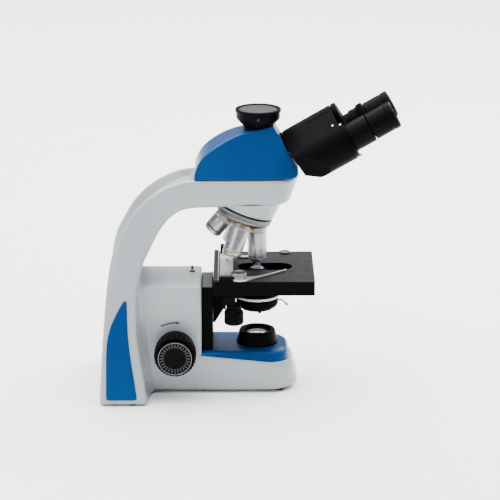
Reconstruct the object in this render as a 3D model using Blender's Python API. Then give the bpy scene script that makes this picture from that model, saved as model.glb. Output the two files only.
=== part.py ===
"""Trinocular compound microscope with a blue and white stand.

Every place below is written in millimetres from the point where the optical axis meets
the table: x runs forward to the user, y to the user's right and z up. at() turns such a
place into metres in the part's own frame, whose origin is the middle of its footprint.
"""

import math

import bmesh
import bpy
from mathutils import Matrix, Vector

MM = 0.001
AXIS_X = 9.0  # the optical axis stands this far in front of the footprint's middle
GAP = 0.3  # clearance between pieces that touch
WELD = 0.000002  # metres

# Stand
ARM_STATIONS = (  # rear or upper edge (x, z), front or lower edge (x, z), half width
    ((-193.4, 3), (-135.5, 3), 92.5),
    ((-192.4, 28), (-138.8, 28), 89.5),
    ((-190.7, 60), (-143.9, 60), 84),
    ((-188.2, 95), (-148.3, 95), 76.5),
    ((-185.2, 130), (-148.6, 130), 68),
    ((-182.8, 150), (-146, 146), 62),
    ((-179.3, 172), (-140.6, 166), 54),
    ((-173.8, 190), (-134.5, 179), 47.5),
    ((-165.5, 206), (-128, 191.5), 43),
    ((-154, 226), (-118, 209.5), 39),
    ((-138, 243.8), (-106, 223.5), 37),
    ((-119, 257.5), (-92, 232), 36),
    ((-100, 266), (-78, 235.4), 35.5),
    ((-88, 269), (-67, 236.8), 35.5),
    ((-78.5, 269.7), (-59, 237.9), 35.5),
    ((-40, 269.8), (-33, 238.8), 35.5),
    ((0, 269.8), (0, 239.2), 35.5),
    ((20, 269.8), (18, 239.4), 35),
    ((36, 269.8), (29, 239.6), 30),
    ((45, 269.8), (36, 239.8), 21.5),
    ((50, 269.8), (40.2, 240.2), 10),
)
ARM_CHANNEL = (24, 23, 22, 19, 16, 15, 14, 13, 12.5, 12, 11.5, 11, 10, 9.5, 0)
ARM_RAIL = (20, 20, 19, 18, 17, 15, 13, 11, 10, 9, 8, 8, 8, 8, 8)
ARM_FLARE = (8, 8, 9, 9, 8, 1)  # how far the concave blend runs in front of the rails
BODY_HALF = 46  # half width of the base and the focus block
BASE_REAR = -150
BLOCK_FRONT = -69
BLOCK_TOP = 138.5
BASE_SEAM = 41.6  # height of the seam under the blue cover, on the optical axis
BASE_SLOPE = 0.1
BASE_BOTTOM = 3.1
COVER_TOP = 53

# Focus drive
SHAFT_X, SHAFT_Z = -101, 58.8
PINION_TIP = 8.0
SLIDE_FRONT = -55
SLIDE_HALF = 33
STOP_SCREW = (-81, 20)

# Stage
STAGE_TOP = 150.7
STAGE_BOTTOM = 133.2
STAGE_BACK, STAGE_FRONT = -54, 70
STAGE_HALF = 65.5
XY_KNOB = (-29, -50)
FINGER_PIVOT = (-23, -58)

# Nosepiece
TURRET_APEX = (0, 0, 264)
TURRET_TILT = math.radians(20)
SEAT = 64.3  # distance of an objective's shoulder from the apex

# Head
TUBE_TILT = math.radians(30)
HINGE_N = 247  # height of the binocular hinge across the tilted tubes
TUBE_N, TUBE_Y = 222, 29
HEAD_BOTTOM = 270.6
LOCK_Z = 264

COLOURS = {  # colour, roughness, metallic
    "white_paint": ((0.70, 0.73, 0.74), 0.40, 0.0),
    "blue_paint": ((0.0, 0.13, 0.40), 0.35, 0.0),
    "black_paint": ((0.012, 0.012, 0.014), 0.42, 0.0),
    "black_plastic": ((0.014, 0.014, 0.015), 0.50, 0.0),
    "stage_black": ((0.035, 0.035, 0.038), 0.55, 0.0),
    "satin_chrome": ((0.66, 0.66, 0.67), 0.25, 1.0),
    "steel": ((0.55, 0.55, 0.56), 0.30, 1.0),
    "brass": ((0.60, 0.43, 0.18), 0.35, 1.0),
    "rubber": ((0.02, 0.02, 0.02), 0.80, 0.0),
    "glass": ((0.55, 0.60, 0.62), 0.05, 0.0),
    "circuit_board": ((0.03, 0.18, 0.08), 0.50, 0.0),
}


def at(x, y, z):
    return Vector((x + AXIS_X, y, z)) * MM


def clear_scene():
    for obj in list(bpy.data.objects):
        bpy.data.objects.remove(obj, do_unlink=True)


def material(kind):
    found = bpy.data.materials.get(kind)
    if found:
        return found
    made = bpy.data.materials.new(kind)
    made.use_nodes = True
    colour, roughness, metallic = COLOURS[kind]
    shader = made.node_tree.nodes["Principled BSDF"]
    shader.inputs["Base Color"].default_value = (*colour, 1)
    shader.inputs["Roughness"].default_value = roughness
    shader.inputs["Metallic"].default_value = metallic
    return made


def finish(name, bm, kind):
    """Makes the object of a finished bmesh, with outward faces and smooth round sides."""
    bmesh.ops.recalc_face_normals(bm, faces=bm.faces)
    mesh = bpy.data.meshes.new(name)
    bm.to_mesh(mesh)
    bm.free()
    mesh.shade_smooth()
    mesh.set_sharp_from_angle(angle=math.radians(35))
    obj = bpy.data.objects.new(name, mesh)
    bpy.context.scene.collection.objects.link(obj)
    mesh.materials.append(material(kind))
    return obj


def loft(name, rings, kind):
    """A closed skin through rings that have the same number of points."""
    bm = bmesh.new()
    rows = [[bm.verts.new(at(*point)) for point in ring] for ring in rings]
    for lower, upper in zip(rows, rows[1:]):
        for i, corner in enumerate(lower):
            j = (i + 1) % len(lower)
            bm.faces.new((corner, lower[j], upper[j], upper[i]))
    # A bent four-sided face would leave cracks where a cut crosses it.
    bmesh.ops.triangulate(bm, faces=bm.faces)
    bm.faces.new(reversed(rows[0]))
    bm.faces.new(rows[-1])
    return finish(name, bm, kind)


def plate(name, outline, low, high, kind):
    """An outline of (x, y) points, extruded from one height to another."""
    return loft(name, [[(x, y, z) for x, y in outline] for z in (low, high)], kind)


def side_prism(name, outline, left, right, kind):
    """An outline of (x, z) points, extruded across from one y to another."""
    return loft(name, [[(x, y, z) for x, z in outline] for y in (left, right)], kind)


def box(name, low, high, kind):
    (x0, y0, z0), (x1, y1, z1) = low, high
    return plate(name, ((x0, y0), (x1, y0), (x1, y1), (x0, y1)), z0, z1, kind)


def turned(name, profile, kind, foot=(0, 0, 0), axis=(0, 0, 1), segments=20, open_profile=True):
    """A profile of (radius, height[, flute depth]) turned about an axis through foot."""
    turn = Vector((0, 0, 1)).rotation_difference(Vector(axis)).to_matrix()
    origin = Vector(foot)
    bm = bmesh.new()
    rows = []
    for radius, height, *flute in profile:
        if radius == 0:
            rows.append([bm.verts.new(at(*(origin + turn @ Vector((0, 0, height)))))])
            continue
        row = []
        for i in range(segments):
            r = radius - (flute[0] if flute and i % 2 else 0)
            angle = math.tau * i / segments
            place = origin + turn @ Vector((r * math.cos(angle), r * math.sin(angle), height))
            row.append(bm.verts.new(at(*place)))
        rows.append(row)
    pairs = list(zip(rows, rows[1:]))
    if not open_profile:
        pairs.append((rows[-1], rows[0]))
    for lower, upper in pairs:
        for i in range(segments):
            j = (i + 1) % segments
            corners = [lower[i % len(lower)], lower[j % len(lower)]]
            corners += [upper[j % len(upper)], upper[i % len(upper)]]
            bm.faces.new(list(dict.fromkeys(corners)))
    return finish(name, bm, kind)


def rod(name, radius, start, end, kind, segments=16):
    """A plain cylinder between two points."""
    axis = Vector(end) - Vector(start)
    profile = ((0, 0), (radius, 0), (radius, axis.length), (0, axis.length))
    return turned(name, profile, kind, start, axis.normalized(), segments)


def tube(name, outer, inner, start, end, kind, segments=20):
    axis = Vector(end) - Vector(start)
    profile = ((inner, 0), (outer, 0), (outer, axis.length), (inner, axis.length))
    return turned(name, profile, kind, start, axis.normalized(), segments, open_profile=False)


def weld(mesh):
    """Merges points that a cut left almost on top of each other."""
    bm = bmesh.new()
    bm.from_mesh(mesh)
    bmesh.ops.remove_doubles(bm, verts=bm.verts, dist=WELD)
    bmesh.ops.dissolve_degenerate(bm, edges=bm.edges, dist=WELD)
    bm.to_mesh(mesh)
    bm.free()


def boolean(target, tool, operation):
    """Adds or cuts the tool, keeps the result as the target's mesh and drops the tool."""
    modifier = target.modifiers.new("combine", "BOOLEAN")
    modifier.operation = operation
    modifier.solver = "EXACT"
    modifier.object = tool
    bpy.context.view_layer.update()
    graph = bpy.context.evaluated_depsgraph_get()
    result = bpy.data.meshes.new_from_object(target.evaluated_get(graph))
    target.modifiers.clear()
    target.data = result
    result.name = target.name
    weld(result)
    bpy.data.objects.remove(tool, do_unlink=True)
    return target


def add(target, *tools):
    for tool in tools:
        boolean(target, tool, "UNION")
    return target


def cut(target, *tools):
    for tool in tools:
        boolean(target, tool, "DIFFERENCE")
    return target


def pivot(obj, x, y, z):
    """Moves the object's origin to a place on its joint's axis."""
    place = at(x, y, z)
    obj.data.transform(Matrix.Translation(-place))
    obj.location = place
    return obj


def rounded(x0, x1, half, radius, steps=5):
    """A rectangle from x0 to x1 and -half to half, with rounded corners."""
    points = []
    corners = ((x1, half, 0), (x0, half, 90), (x0, -half, 180), (x1, -half, 270))
    for x, y, start in corners:
        cx = x - radius if x == x1 else x + radius
        cy = y - radius if y == half else y + radius
        for i in range(steps + 1):
            angle = math.radians(start + 90 * i / steps)
            points.append((cx + radius * math.cos(angle), cy + radius * math.sin(angle)))
    return points


# ---------------------------------------------------------------- stand


def arm_section(index):
    """One closed section of the arm, across the direction in which it grows."""
    (rear_x, rear_z), (front_x, front_z), half = ARM_STATIONS[index]
    last = len(ARM_CHANNEL) - 1
    channel = ARM_CHANNEL[min(index, last)]
    rail = ARM_RAIL[min(index, last)]
    flare = ARM_FLARE[index] if index < len(ARM_FLARE) else 0.0
    rear = Vector((rear_x, rear_z))
    front = Vector((front_x, front_z))
    depth = (front - rear).length
    along = (front - rear) / depth
    edge = min(5, half * 0.3)
    floor_half = max(half - rail - channel * 0.35, half * 0.4)
    foot = min(BODY_HALF - 1, (half - edge) * 0.8)
    blend = (half - edge - foot) / 3
    side = [
        (channel, 0),
        (channel, floor_half),
        (0.2 * edge, max(half - rail, half * 0.55)),
        (0, half - edge),
        (0.3 * edge, half - 0.3 * edge),
        (edge, half),
        (depth - edge, half),
        (depth - 0.3 * edge, half - 0.3 * edge),
        (depth, half - edge),
        (depth + 0.12 * flare, half - edge - blend),
        (depth + 0.38 * flare, half - edge - 2 * blend),
        (depth + flare, foot),
        (depth + flare, 0),
    ]
    ring = [(u, v) for u, v in side] + [(u, -v) for u, v in reversed(side[1:-1])]
    return [(rear.x + along.x * u, v, rear.y + along.y * u) for u, v in ring]


def seam_height(x):
    """Height of the sloping seam between the base and its blue cover."""
    return BASE_SEAM - BASE_SLOPE * x


def base_outline(inset, front, corner, steps=6):
    """Plan of the base, square at the back and rounded at the front."""
    half = BODY_HALF - inset
    points = [(BASE_REAR, half), (BASE_REAR, -half)]
    for i in range(steps + 1):
        angle = math.radians(-90 + 90 * i / steps)
        x = front - corner + corner * math.cos(angle)
        points.append((x, -half + corner + corner * math.sin(angle)))
    points += [(x, -y) for x, y in reversed(points[2:])]
    return points


def stand_casting():
    arm = loft("stand_casting", [arm_section(i) for i in range(len(ARM_STATIONS))], "white_paint")
    rings = (  # height below the seam or above the table, inset, front, corner radius
        (BASE_BOTTOM, 5, 41, 27),
        (5, 2.2, 46.5, 29),
        (9, 0.2, 49.3, 30),
        (22, 0.4, 47.3, 30),
        (None, 1.4, 42, 28),
    )
    base = []
    for z, inset, front, corner in rings:
        outline = base_outline(inset, front, corner)
        base.append([(x, y, seam_height(x) if z is None else z) for x, y in outline])
    block_side = (
        (-150, 30),
        (BLOCK_FRONT, 30),
        (BLOCK_FRONT, BLOCK_TOP - 2),
        (BLOCK_FRONT - 2, BLOCK_TOP),
        (-150, BLOCK_TOP),
    )
    block = side_prism("block", block_side, -BODY_HALF + 1, BODY_HALF - 1, "white_paint")
    pad = turned(
        "pad", ((0, 237.9), (33, 237.9), (33, 250), (0, 250)), "white_paint", (-7, 0, 0)
    )
    add(arm, loft("base", base, "white_paint"), block, pad)
    hollow = [
        [(x, y, z) for x, y in base_outline(6, 37, 24)] for z in (-5, 20)
    ]
    hollow.append([(x, y, seam_height(x) - 4.5) for x, y in base_outline(7, 34, 22)])
    cut(
        arm,
        loft("base_hollow", hollow, "white_paint"),
        box("block_hollow", (-162, -39, -5), (-75, 39, 132), "white_paint"),
        box("guide_window", (-80, -26, 40), (-60, 26, 127), "white_paint"),
        box("slide_well", (-74, -35, 20), (-54, 35, 60), "white_paint"),
        rod("shaft_bore", 7, (SHAFT_X, -60, SHAFT_Z), (SHAFT_X, 60, SHAFT_Z), "white_paint"),
        rod("light_bore", 12, (0, 0, 225), (0, 0, 280), "white_paint"),
        rod("head_socket", 27.3, (0, 0, 261), (0, 0, 280), "white_paint", 32),
        rod("lock_bore", 2.8, (0, 20, LOCK_Z), (0, 50, LOCK_Z), "white_paint", 10),
        rod("lamp_bore", 9, (0, 0, 30), (0, 0, 50), "white_paint"),
        box("inlet_hole", (-176, 8, 22), (-155, 36, 42), "white_paint"),
        box("switch_hole", (-176, -32, 24.5), (-155, -12, 39.5), "white_paint"),
        rod("dimmer_bore", 3.3, (-15, 30, 24), (-15, 60, 24), "white_paint", 16),
        rod("stop_bore", 2.3, (*STOP_SCREW, 125), (*STOP_SCREW, 145), "white_paint", 12),
    )
    return arm


def base_bottom_plate():
    outline = [(max(x, BASE_REAR + GAP), y) for x, y in base_outline(6.4, 36.6, 23.6)]
    body = plate("base_bottom_plate", outline, 3.4, 5.4, "black_paint")
    for x in (-120, -95, -20, 0):
        cut(body, box("vent", (x, -20, 0), (x + 6, 20, 8), "black_paint"))
    return body


def base_top_cover():
    """The blue cover: a flat top with flanks that fall to the sloping seam."""
    shells = []
    for wall in (0, 2.5):
        rings = []
        for rise, inset in ((0, 0), (0.45, 2.5), (0.85, 8), (1, 13.5)):
            ring = []
            for x, y in base_outline(1.4 + inset + wall, 42 - inset * 0.9 - wall, 28 - inset * 0.9):
                x = max(x, BLOCK_FRONT + GAP + wall)
                low = seam_height(x) + GAP
                ring.append((x, y, low + (COVER_TOP - wall - low) * rise))
            rings.append(ring)
        shells.append(rings)
    cover = loft("base_top_cover", shells[0], "blue_paint")
    inner = shells[1]
    inner[0] = [(x, y, z - 3) for x, y, z in inner[0]]
    cut(
        cover,
        loft("cover_hollow", inner, "blue_paint"),
        box("slide_gap", (-80, -34, 30), (-54.2, 34, 60), "blue_paint"),
        rod("light_hole", 13, (0, 0, 40), (0, 0, 60), "blue_paint"),
    )
    return cover


def half_width_at(z):
    """Half width of the arm's lower legs, which are straight between their stations."""
    for lower, upper in zip(ARM_STATIONS, ARM_STATIONS[1:]):
        z0, z1 = lower[0][1], upper[0][1]
        if z0 <= z <= z1:
            return lower[2] + (upper[2] - lower[2]) * (z - z0) / (z1 - z0)
    return ARM_STATIONS[-1][2]


PANEL_ROWS = (  # height, rear edge, front edge of the blue inlay on the leg
    (8, -182.5, -151.0),
    (11, -185.3, -147.9),
    (28, -185.2, -150.2),
    (60, -184.8, -155.2),
    (78, -183.6, -157.4),
    (95, -179.8, -158.6),
    (108, -174.2, -159.0),
    (118, -168.9, -159.2),
    (124.5, -165.0, -159.4),
    (127.4, -162.4, -160.4),
)


def side_panel(name, side):
    bm = bmesh.new()
    rows = []
    for z, rear, front in PANEL_ROWS:
        for x in (rear, front):
            y = half_width_at(z) + GAP
            rows.append([bm.verts.new(at(x, side * (y + out), z)) for out in (0, 1.4)])
    lines = [(rows[i], rows[i + 1]) for i in range(0, len(rows), 2)]
    for (rear, front), (rear_up, front_up) in zip(lines, lines[1:]):
        bm.faces.new((rear[1], front[1], front_up[1], rear_up[1]))
        bm.faces.new((rear[0], rear_up[0], front_up[0], front[0]))
        bm.faces.new((rear[0], rear[1], rear_up[1], rear_up[0]))
        bm.faces.new((front[0], front_up[0], front_up[1], front[1]))
    for rear, front in (lines[0], lines[-1]):
        bm.faces.new((rear[0], front[0], front[1], rear[1]))
    return finish(name, bm, "blue_paint")


def feet():
    places = {
        "foot_front_left": (28, -31),
        "foot_front_right": (28, 31),
        "foot_rear_left": (-153, -85),
        "foot_rear_right": (-153, 85),
    }
    for name, (x, y) in places.items():
        profile = ((0, 0), (4.6, 0), (5.6, 0.8), (5.6, 2.7), (0, 2.7))
        turned(name, profile, "rubber", (x, y, 0), segments=14)


def illumination():
    housing = (
        (13, COVER_TOP + GAP),
        (25.7, COVER_TOP + GAP),
        (25.6, COVER_TOP + 2.4),
        (22.6, 68),
        (21.4, 69.8),
        (16.6, 69.8),
        (14.8, 65.6),
        (14.8, 60),
        (13, 60),
    )
    turned("lamp_housing", housing, "black_plastic", segments=24, open_profile=False)
    lens = ((0, 60.3), (14.4, 60.3), (14.4, 62.6), (10.5, 65), (5.5, 66.2), (0, 66.6))
    turned("field_lens", lens, "glass", segments=16)
    board = turned(
        "led_module", ((0, 43.6), (15, 43.6), (15, 45.4), (6, 45.6), (5, 49), (0, 50)), "circuit_board"
    )
    add(board, rod("led_stem", 6, (0, 0, 37.5), (0, 0, 44), "circuit_board"))
    inlet = box("power_inlet", (-172.5, 8.4, 22.4), (-157, 35.6, 41.6), "black_plastic")
    cut(inlet, box("inlet_mouth", (-180, 12, 25), (-160, 32, 39), "black_plastic"))
    for y, z in ((15.5, 30.5), (22, 34.5), (28.5, 30.5)):
        add(inlet, box("pin", (-167, y - 1, z - 2), (-159, y + 1, z + 2), "black_plastic"))
    frame = box("switch_frame", (-170, -31.6, 24.9), (-158, -12.4, 39.1), "black_plastic")
    cut(frame, box("mouth", (-180, -30, 26), (-161, -14, 38), "black_plastic"))
    rocker = side_prism(
        "power_switch",
        ((-162.2, 27.2), (-168.8, 27.2), (-170.4, 32), (-171.9, 36.8), (-162.2, 36.8)),
        -29.4,
        -14.6,
        "black_plastic",
    )
    pivot(rocker, -165, -22, 32)
    knob = turned(
        "dimmer_knob",
        ((0, -14), (2.9, -14), (2.9, 0.4), (9, 0.4), (9.5, 1.4, 0.5), (9.5, 9, 0.5), (8.6, 10), (0, 10)),
        "black_plastic",
        (-15, BODY_HALF, 24),
        (0, 1, 0),
    )
    pivot(knob, -15, BODY_HALF, 24)


def nosepiece_housing():
    apex = Vector(TURRET_APEX)
    down = Vector((-math.sin(TURRET_TILT), 0, -math.cos(TURRET_TILT)))
    profile = ((0, 14), (38.8, 14), (36.1, 39.8), (35, 40.8), (0, 40.8))
    body = turned("nosepiece_housing", profile, "white_paint", apex, down, 28)
    cut(
        body,
        box("above", (-90, -60, 237.6), (90, 60, 300), "white_paint"),
        rod("light_bore", 12, (0, 0, 190), (0, 0, 260), "white_paint"),
    )
    return body


# ---------------------------------------------------------------- focus drive


def focus_drive():
    guide = box("dovetail_guide", (-79.7, -25.7, 40.3), (-69.3, 25.7, 126.7), "black_paint")
    slot = ((-60, 9.5), (-69.3, 9.5), (-75.5, 13.5), (-90, 13.5))
    outline = [(x, y) for x, y in slot] + [(x, -y) for x, y in reversed(slot)]
    cut(guide, plate("slot", outline, 30, 118, "black_paint"))
    add(guide, box("tie", (-84, -25.7, 40.3), (-79.3, 25.7, 46), "black_paint"))

    slide = box(
        "focus_slide", (-68.8, -SLIDE_HALF, 48), (SLIDE_FRONT, SLIDE_HALF, 133.5), "black_paint"
    )
    tongue = ((-68.5, 9.1), (-69.4, 9.1), (-75.3, 12.9), (-79, 12.9), (-79, 8), (-87.2, 8))
    outline = [(x, y) for x, y in tongue] + [(x, -y) for x, y in reversed(tongue)]
    add(slide, plate("tongue", outline, 68, 112, "black_paint"))

    teeth = []
    pitch = 3.2
    tip, root = SHAFT_X + PINION_TIP + GAP, SHAFT_X + PINION_TIP + 1.9
    for i in range(13):
        z = 49.5 + i * pitch
        teeth += [(root, z), (tip, z + 0.9), (tip, z + 1.7), (root, z + 2.6)]
    outline = [(-87.5, teeth[0][1] - 1), (root, teeth[0][1] - 1), *teeth]
    outline += [(root, teeth[-1][1] + 1), (-87.5, teeth[-1][1] + 1)]
    side_prism("focus_rack", outline, -5, 5, "brass")

    tube("coarse_shaft", 4.5, 2.8, (SHAFT_X, -77, SHAFT_Z), (SHAFT_X, 69.5, SHAFT_Z), "steel", 20)
    rod("fine_shaft", 2.5, (SHAFT_X, -80.7, SHAFT_Z), (SHAFT_X, 73.2, SHAFT_Z), "steel", 16)
    pinion = [(4.8, -4.6), (PINION_TIP, -4.6, 1.5), (PINION_TIP, 4.6, 1.5), (4.8, 4.6)]
    turned(
        "focus_pinion", pinion, "brass", (SHAFT_X, 0, SHAFT_Z), (0, 1, 0), open_profile=False
    )
    for y in (-43, 43):
        name = "shaft_bush_left" if y < 0 else "shaft_bush_right"
        tube(name, 6.7, 4.8, (SHAFT_X, y - 5, SHAFT_Z), (SHAFT_X, y + 5, SHAFT_Z), "brass")
    tube(
        "tension_collar",
        24,
        7,
        (SHAFT_X, -57, SHAFT_Z),
        (SHAFT_X, -48.3, SHAFT_Z),
        "black_plastic",
        24,
    )
    for name, side, inner, outer in (("left", -1, 57.6, 79), ("right", 1, 50.5, 71.5)):
        coarse = (
            (4.8, inner),
            (24.6, inner),
            (26, inner + 1.5),
            (26, outer - 1.2),
            (24.8, outer),
            (22, outer),
            (22, outer - 4),
            (4.8, outer - 4),
        )
        foot = (SHAFT_X, 0, SHAFT_Z)
        axis = (0, side, 0)
        turned(f"coarse_knob_{name}", coarse, "black_plastic", foot, axis, 28, open_profile=False)
        start = outer - 1.5
        fine = (
            (0, start + 3.5),
            (2.8, start + 3.5),
            (2.8, start),
            (20, start),
            (20.6, start + 2),
            (21.3, start + 4.4),
            (21.3, start + 8),
            (20.3, start + 8.6),
            (19, start + 8.6),
            (17.6, start + 6.6),
            (9.5, start + 5.4),
            (0, start + 5.4),
        )
        turned(f"fine_knob_{name}", fine, "black_plastic", foot, axis, 24)
    for name in (
        "coarse_shaft",
        "fine_shaft",
        "focus_pinion",
        "tension_collar",
        "coarse_knob_left",
        "coarse_knob_right",
        "fine_knob_left",
        "fine_knob_right",
    ):
        pivot(bpy.data.objects[name], SHAFT_X, 0, SHAFT_Z)
    screw = (
        (0, BLOCK_TOP - 7.5),
        (2, BLOCK_TOP - 7.5),
        (2, BLOCK_TOP + GAP),
        (3.6, BLOCK_TOP + GAP),
        (3.6, BLOCK_TOP + 2.2),
        (1.8, BLOCK_TOP + 3),
        (1.8, BLOCK_TOP + 7.2),
        (0, BLOCK_TOP + 7.2),
    )
    turned("stage_stop_screw", screw, "steel", (*STOP_SCREW, 0), segments=16)


# ---------------------------------------------------------------- stage


def fork_outline(radius, steps=12):
    """Plan of the bracket: a plate with a round mouth around the condenser."""
    points = [(SLIDE_FRONT + GAP, -36), (31, -36), (34, -33)]
    reach = math.sqrt(radius**2 - 24**2)
    points.append((34, -24))
    start = math.atan2(-24, reach)
    for i in range(steps + 1):
        angle = start - (math.tau + 2 * start) * i / steps
        points.append((radius * math.cos(angle), radius * math.sin(angle)))
    points += [(34, 24), (34, 33), (31, 36), (SLIDE_FRONT + GAP, 36)]
    return points


def stage():
    bracket = plate("stage_bracket", fork_outline(31), 126, 134.2, "black_paint")
    gusset = ((-54.7, 126.5), (-54.7, 84), (-52.5, 84), (-33, 116), (-33, 126.5))
    for y in (-19, 13):
        add(bracket, side_prism("gusset", gusset, y, y + 6, "black_paint"))
    cut(bracket, rod("knob_bore", 2.9, (-44, 9, 108), (-44, 25, 108), "black_paint", 16))
    lower = box("stage_lower_plate", (-53, -38, 134.6), (52.5, 62, 143.8), "black_paint")
    cut(lower, rod("condenser_hole", 24, (0, 0, 130), (0, 0, 150), "black_paint", 28))

    top = plate(
        "stage_top_plate",
        rounded(STAGE_BACK, STAGE_FRONT, STAGE_HALF, 2, 2),
        STAGE_BOTTOM,
        STAGE_TOP,
        "stage_black",
    )
    cut(
        top,
        box("under_hollow", (-60, -63, 130), (67.5, 63, 144.2), "stage_black"),
        plate("slot", rounded(-24.6, 43.5, 15.6, 15.5, 6), 140, 155, "stage_black"),
    )
    rail_low = STAGE_TOP + GAP
    box("stage_guide_rail", (-53.6, -65, rail_low), (-47.8, 65, rail_low + 2.6), "steel")

    bar = plate(
        "slide_holder",
        (
            (-46.4, -66),
            (-14, -66),
            (-14, -50),
            (-30, -50),
            (-30, 34),
            (6, 34),
            (6, 40),
            (-30, 40),
            (-30, 62),
            (-46.4, 62),
        ),
        rail_low + 0.2,
        rail_low + 2.2,
        "satin_chrome",
    )
    block_low = rail_low + 2.1
    add(bar, box("finger_rest", (-45, -50, block_low), (-31, -38, block_low + 3), "satin_chrome"))
    add(bar, box("end_stop", (-46, 50, block_low), (-41, 61, 162.5), "satin_chrome"))

    px, py = FINGER_PIVOT
    low = rail_low + 2.5
    blade = []
    for side in (1, -1):
        edge = []
        for i in range(9):
            t = i / 8
            x = px + 6 + (35.7 - px - 6) * t
            y = py + 1 + (-28 - py - 1) * t - 7.5 * math.sin(math.pi * t)
            half = 5.4 - 3.7 * t
            edge.append((x - 0.35 * side * half, y + side * half))
        blade += edge if side > 0 else reversed(edge)
    finger = turned(
        "holder_finger",
        ((0, low), (8.8, low), (8.8, low + 4.6), (7.6, low + 7.2), (6.4, low + 7.6), (0, low + 7.6)),
        "satin_chrome",
        (px, py, 0),
        segments=22,
    )
    add(finger, plate("blade", blade, low + 0.05, low + 2.6, "satin_chrome"))
    pivot(finger, px, py, low)

    kx, ky = XY_KNOB
    hanger = box("hanger", (kx - 11, -64, 129.5), (kx + 11, -41, 145), "stage_black")
    add(top, hanger)
    cut(top, rod("drive_bore", 3.4, (kx, ky, 120), (kx, ky, 143), "stage_black", 20))
    upper = (
        (3.3, 113.2),
        (11.4, 113.2),
        (13.2, 116),
        (13.2, 126.6),
        (12.2, 128),
        (6, 128.2),
        (6, 129.2),
        (3.3, 129.2),
    )
    turned("stage_y_knob", upper, "black_plastic", (kx, ky, 0), open_profile=False)
    lower_knob = (
        (0, 92.2),
        (9.6, 92.2),
        (11.5, 94.6),
        (11.5, 107.8),
        (9.4, 110.6),
        (9.4, 112.6),
        (3, 112.6),
        (3, 142),
        (0, 142),
    )
    turned("stage_x_knob", lower_knob, "black_plastic", (kx, ky, 0))
    pivot(bpy.data.objects["stage_y_knob"], kx, ky, 120)
    pivot(bpy.data.objects["stage_x_knob"], kx, ky, 100)


# ---------------------------------------------------------------- condenser


def condenser():
    carrier = tube("condenser_carrier", 27.3, 20.8, (0, 0, 113.6), (0, 0, 118.6), "satin_chrome", 22)
    add(
        carrier,
        box("carrier_arm", (-50, -9, 113.4), (-24, 9, 118.8), "satin_chrome"),
        box("carrier_slide", (-53.9, -12.6, 99), (-47.2, 12.6, 119.5), "satin_chrome"),
    )
    cut(carrier, rod("clear", 20.8, (0, 0, 110), (0, 0, 122), "satin_chrome", 22))
    body = (
        (13, 99.6),
        (20.5, 99.6),
        (24.5, 101.4),
        (26.3, 104.6),
        (23.6, 104.9),
        (23.6, 109.3),
        (26.6, 109.6),
        (26.6, 113.2),
        (20.4, 113.2),
        (20.4, 136),
        (14.8, 143.8),
        (9, 149.8),
        (8.4, 149.8),
        (8.4, 144),
        (13, 136),
    )
    turned("condenser_body", body, "black_paint", segments=22, open_profile=False)
    lens = ((0, 145), (8, 145), (8, 149.4), (7, 150), (0, 150.2))
    turned("condenser_lens", lens, "glass", segments=14)
    iris = tube("iris_lever", 25.9, 24.0, (0, 0, 105.3), (0, 0, 108.9), "black_paint", 22)
    elbow = (31, 0, 107.4)
    add(
        iris,
        rod("stalk", 0.9, (25, 0, 107.4), elbow, "steel", 8),
        rod("tip", 0.9, (30.7, 0, 107.7), (38.2, 0, 100.2), "steel", 8),
    )
    ring = tube("filter_holder", 19.5, 16.6, (0, 0, 97.4), (0, 0, 99.2), "black_paint", 22)
    lug = box("lug", (-1, -24.5, 97.4), (7, -17.6, 99.2), "black_paint")
    pin = rod("pin", 1.6, (3, -22, 96.7), (3, -22, 99.1), "black_paint", 16)
    add(ring, lug, pin)
    pivot(ring, 3, -22, 98.3)
    knob = (
        (0, 0),
        (2.6, 0),
        (2.6, 15.4),
        (9.2, 15.4),
        (10, 16.4),
        (10, 25),
        (9, 26),
        (0, 26),
    )
    turned("condenser_knob", knob, "black_plastic", (-44, 10, 108), (0, 1, 0))
    pivot(bpy.data.objects["condenser_knob"], -44, 20, 108)


# ---------------------------------------------------------------- nosepiece


def seat_axis(quarter):
    """Direction of one objective: the front one is vertical, the others follow round."""
    down = Vector((-math.sin(TURRET_TILT), 0, -math.cos(TURRET_TILT)))
    out = Vector((math.cos(TURRET_TILT), 0, -math.sin(TURRET_TILT)))
    side = Vector((0, 1, 0))
    turn = quarter * math.pi / 2
    around = math.cos(turn) * out + math.sin(turn) * side
    return math.cos(TURRET_TILT) * down + math.sin(TURRET_TILT) * around


OBJECTIVES = {  # quarter turn from the front seat, profile of (radius, length)
    "objective_40x": (
        0,
        ((11.0, 0), (11.6, 0.8), (11.6, 35.6), (10.6, 38.4), (8.2, 40), (6, 42), (4.6, 45.8), (3.9, 46.3)),
    ),
    "objective_100x": (
        1,
        ((11.0, 0), (11.6, 0.8), (11.6, 34.8), (9.4, 37.5), (7, 39.5), (5, 44), (3.4, 46.3)),
    ),
    "objective_4x": (
        2,
        ((11.0, 0), (11.6, 0.8), (11.6, 19.2), (10.8, 22.6), (9.2, 23.6)),
    ),
    "objective_10x": (
        3,
        ((11.0, 0), (11.9, 0.8), (11.9, 32.4), (11.2, 36), (9.6, 37.6)),
    ),
}


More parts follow.
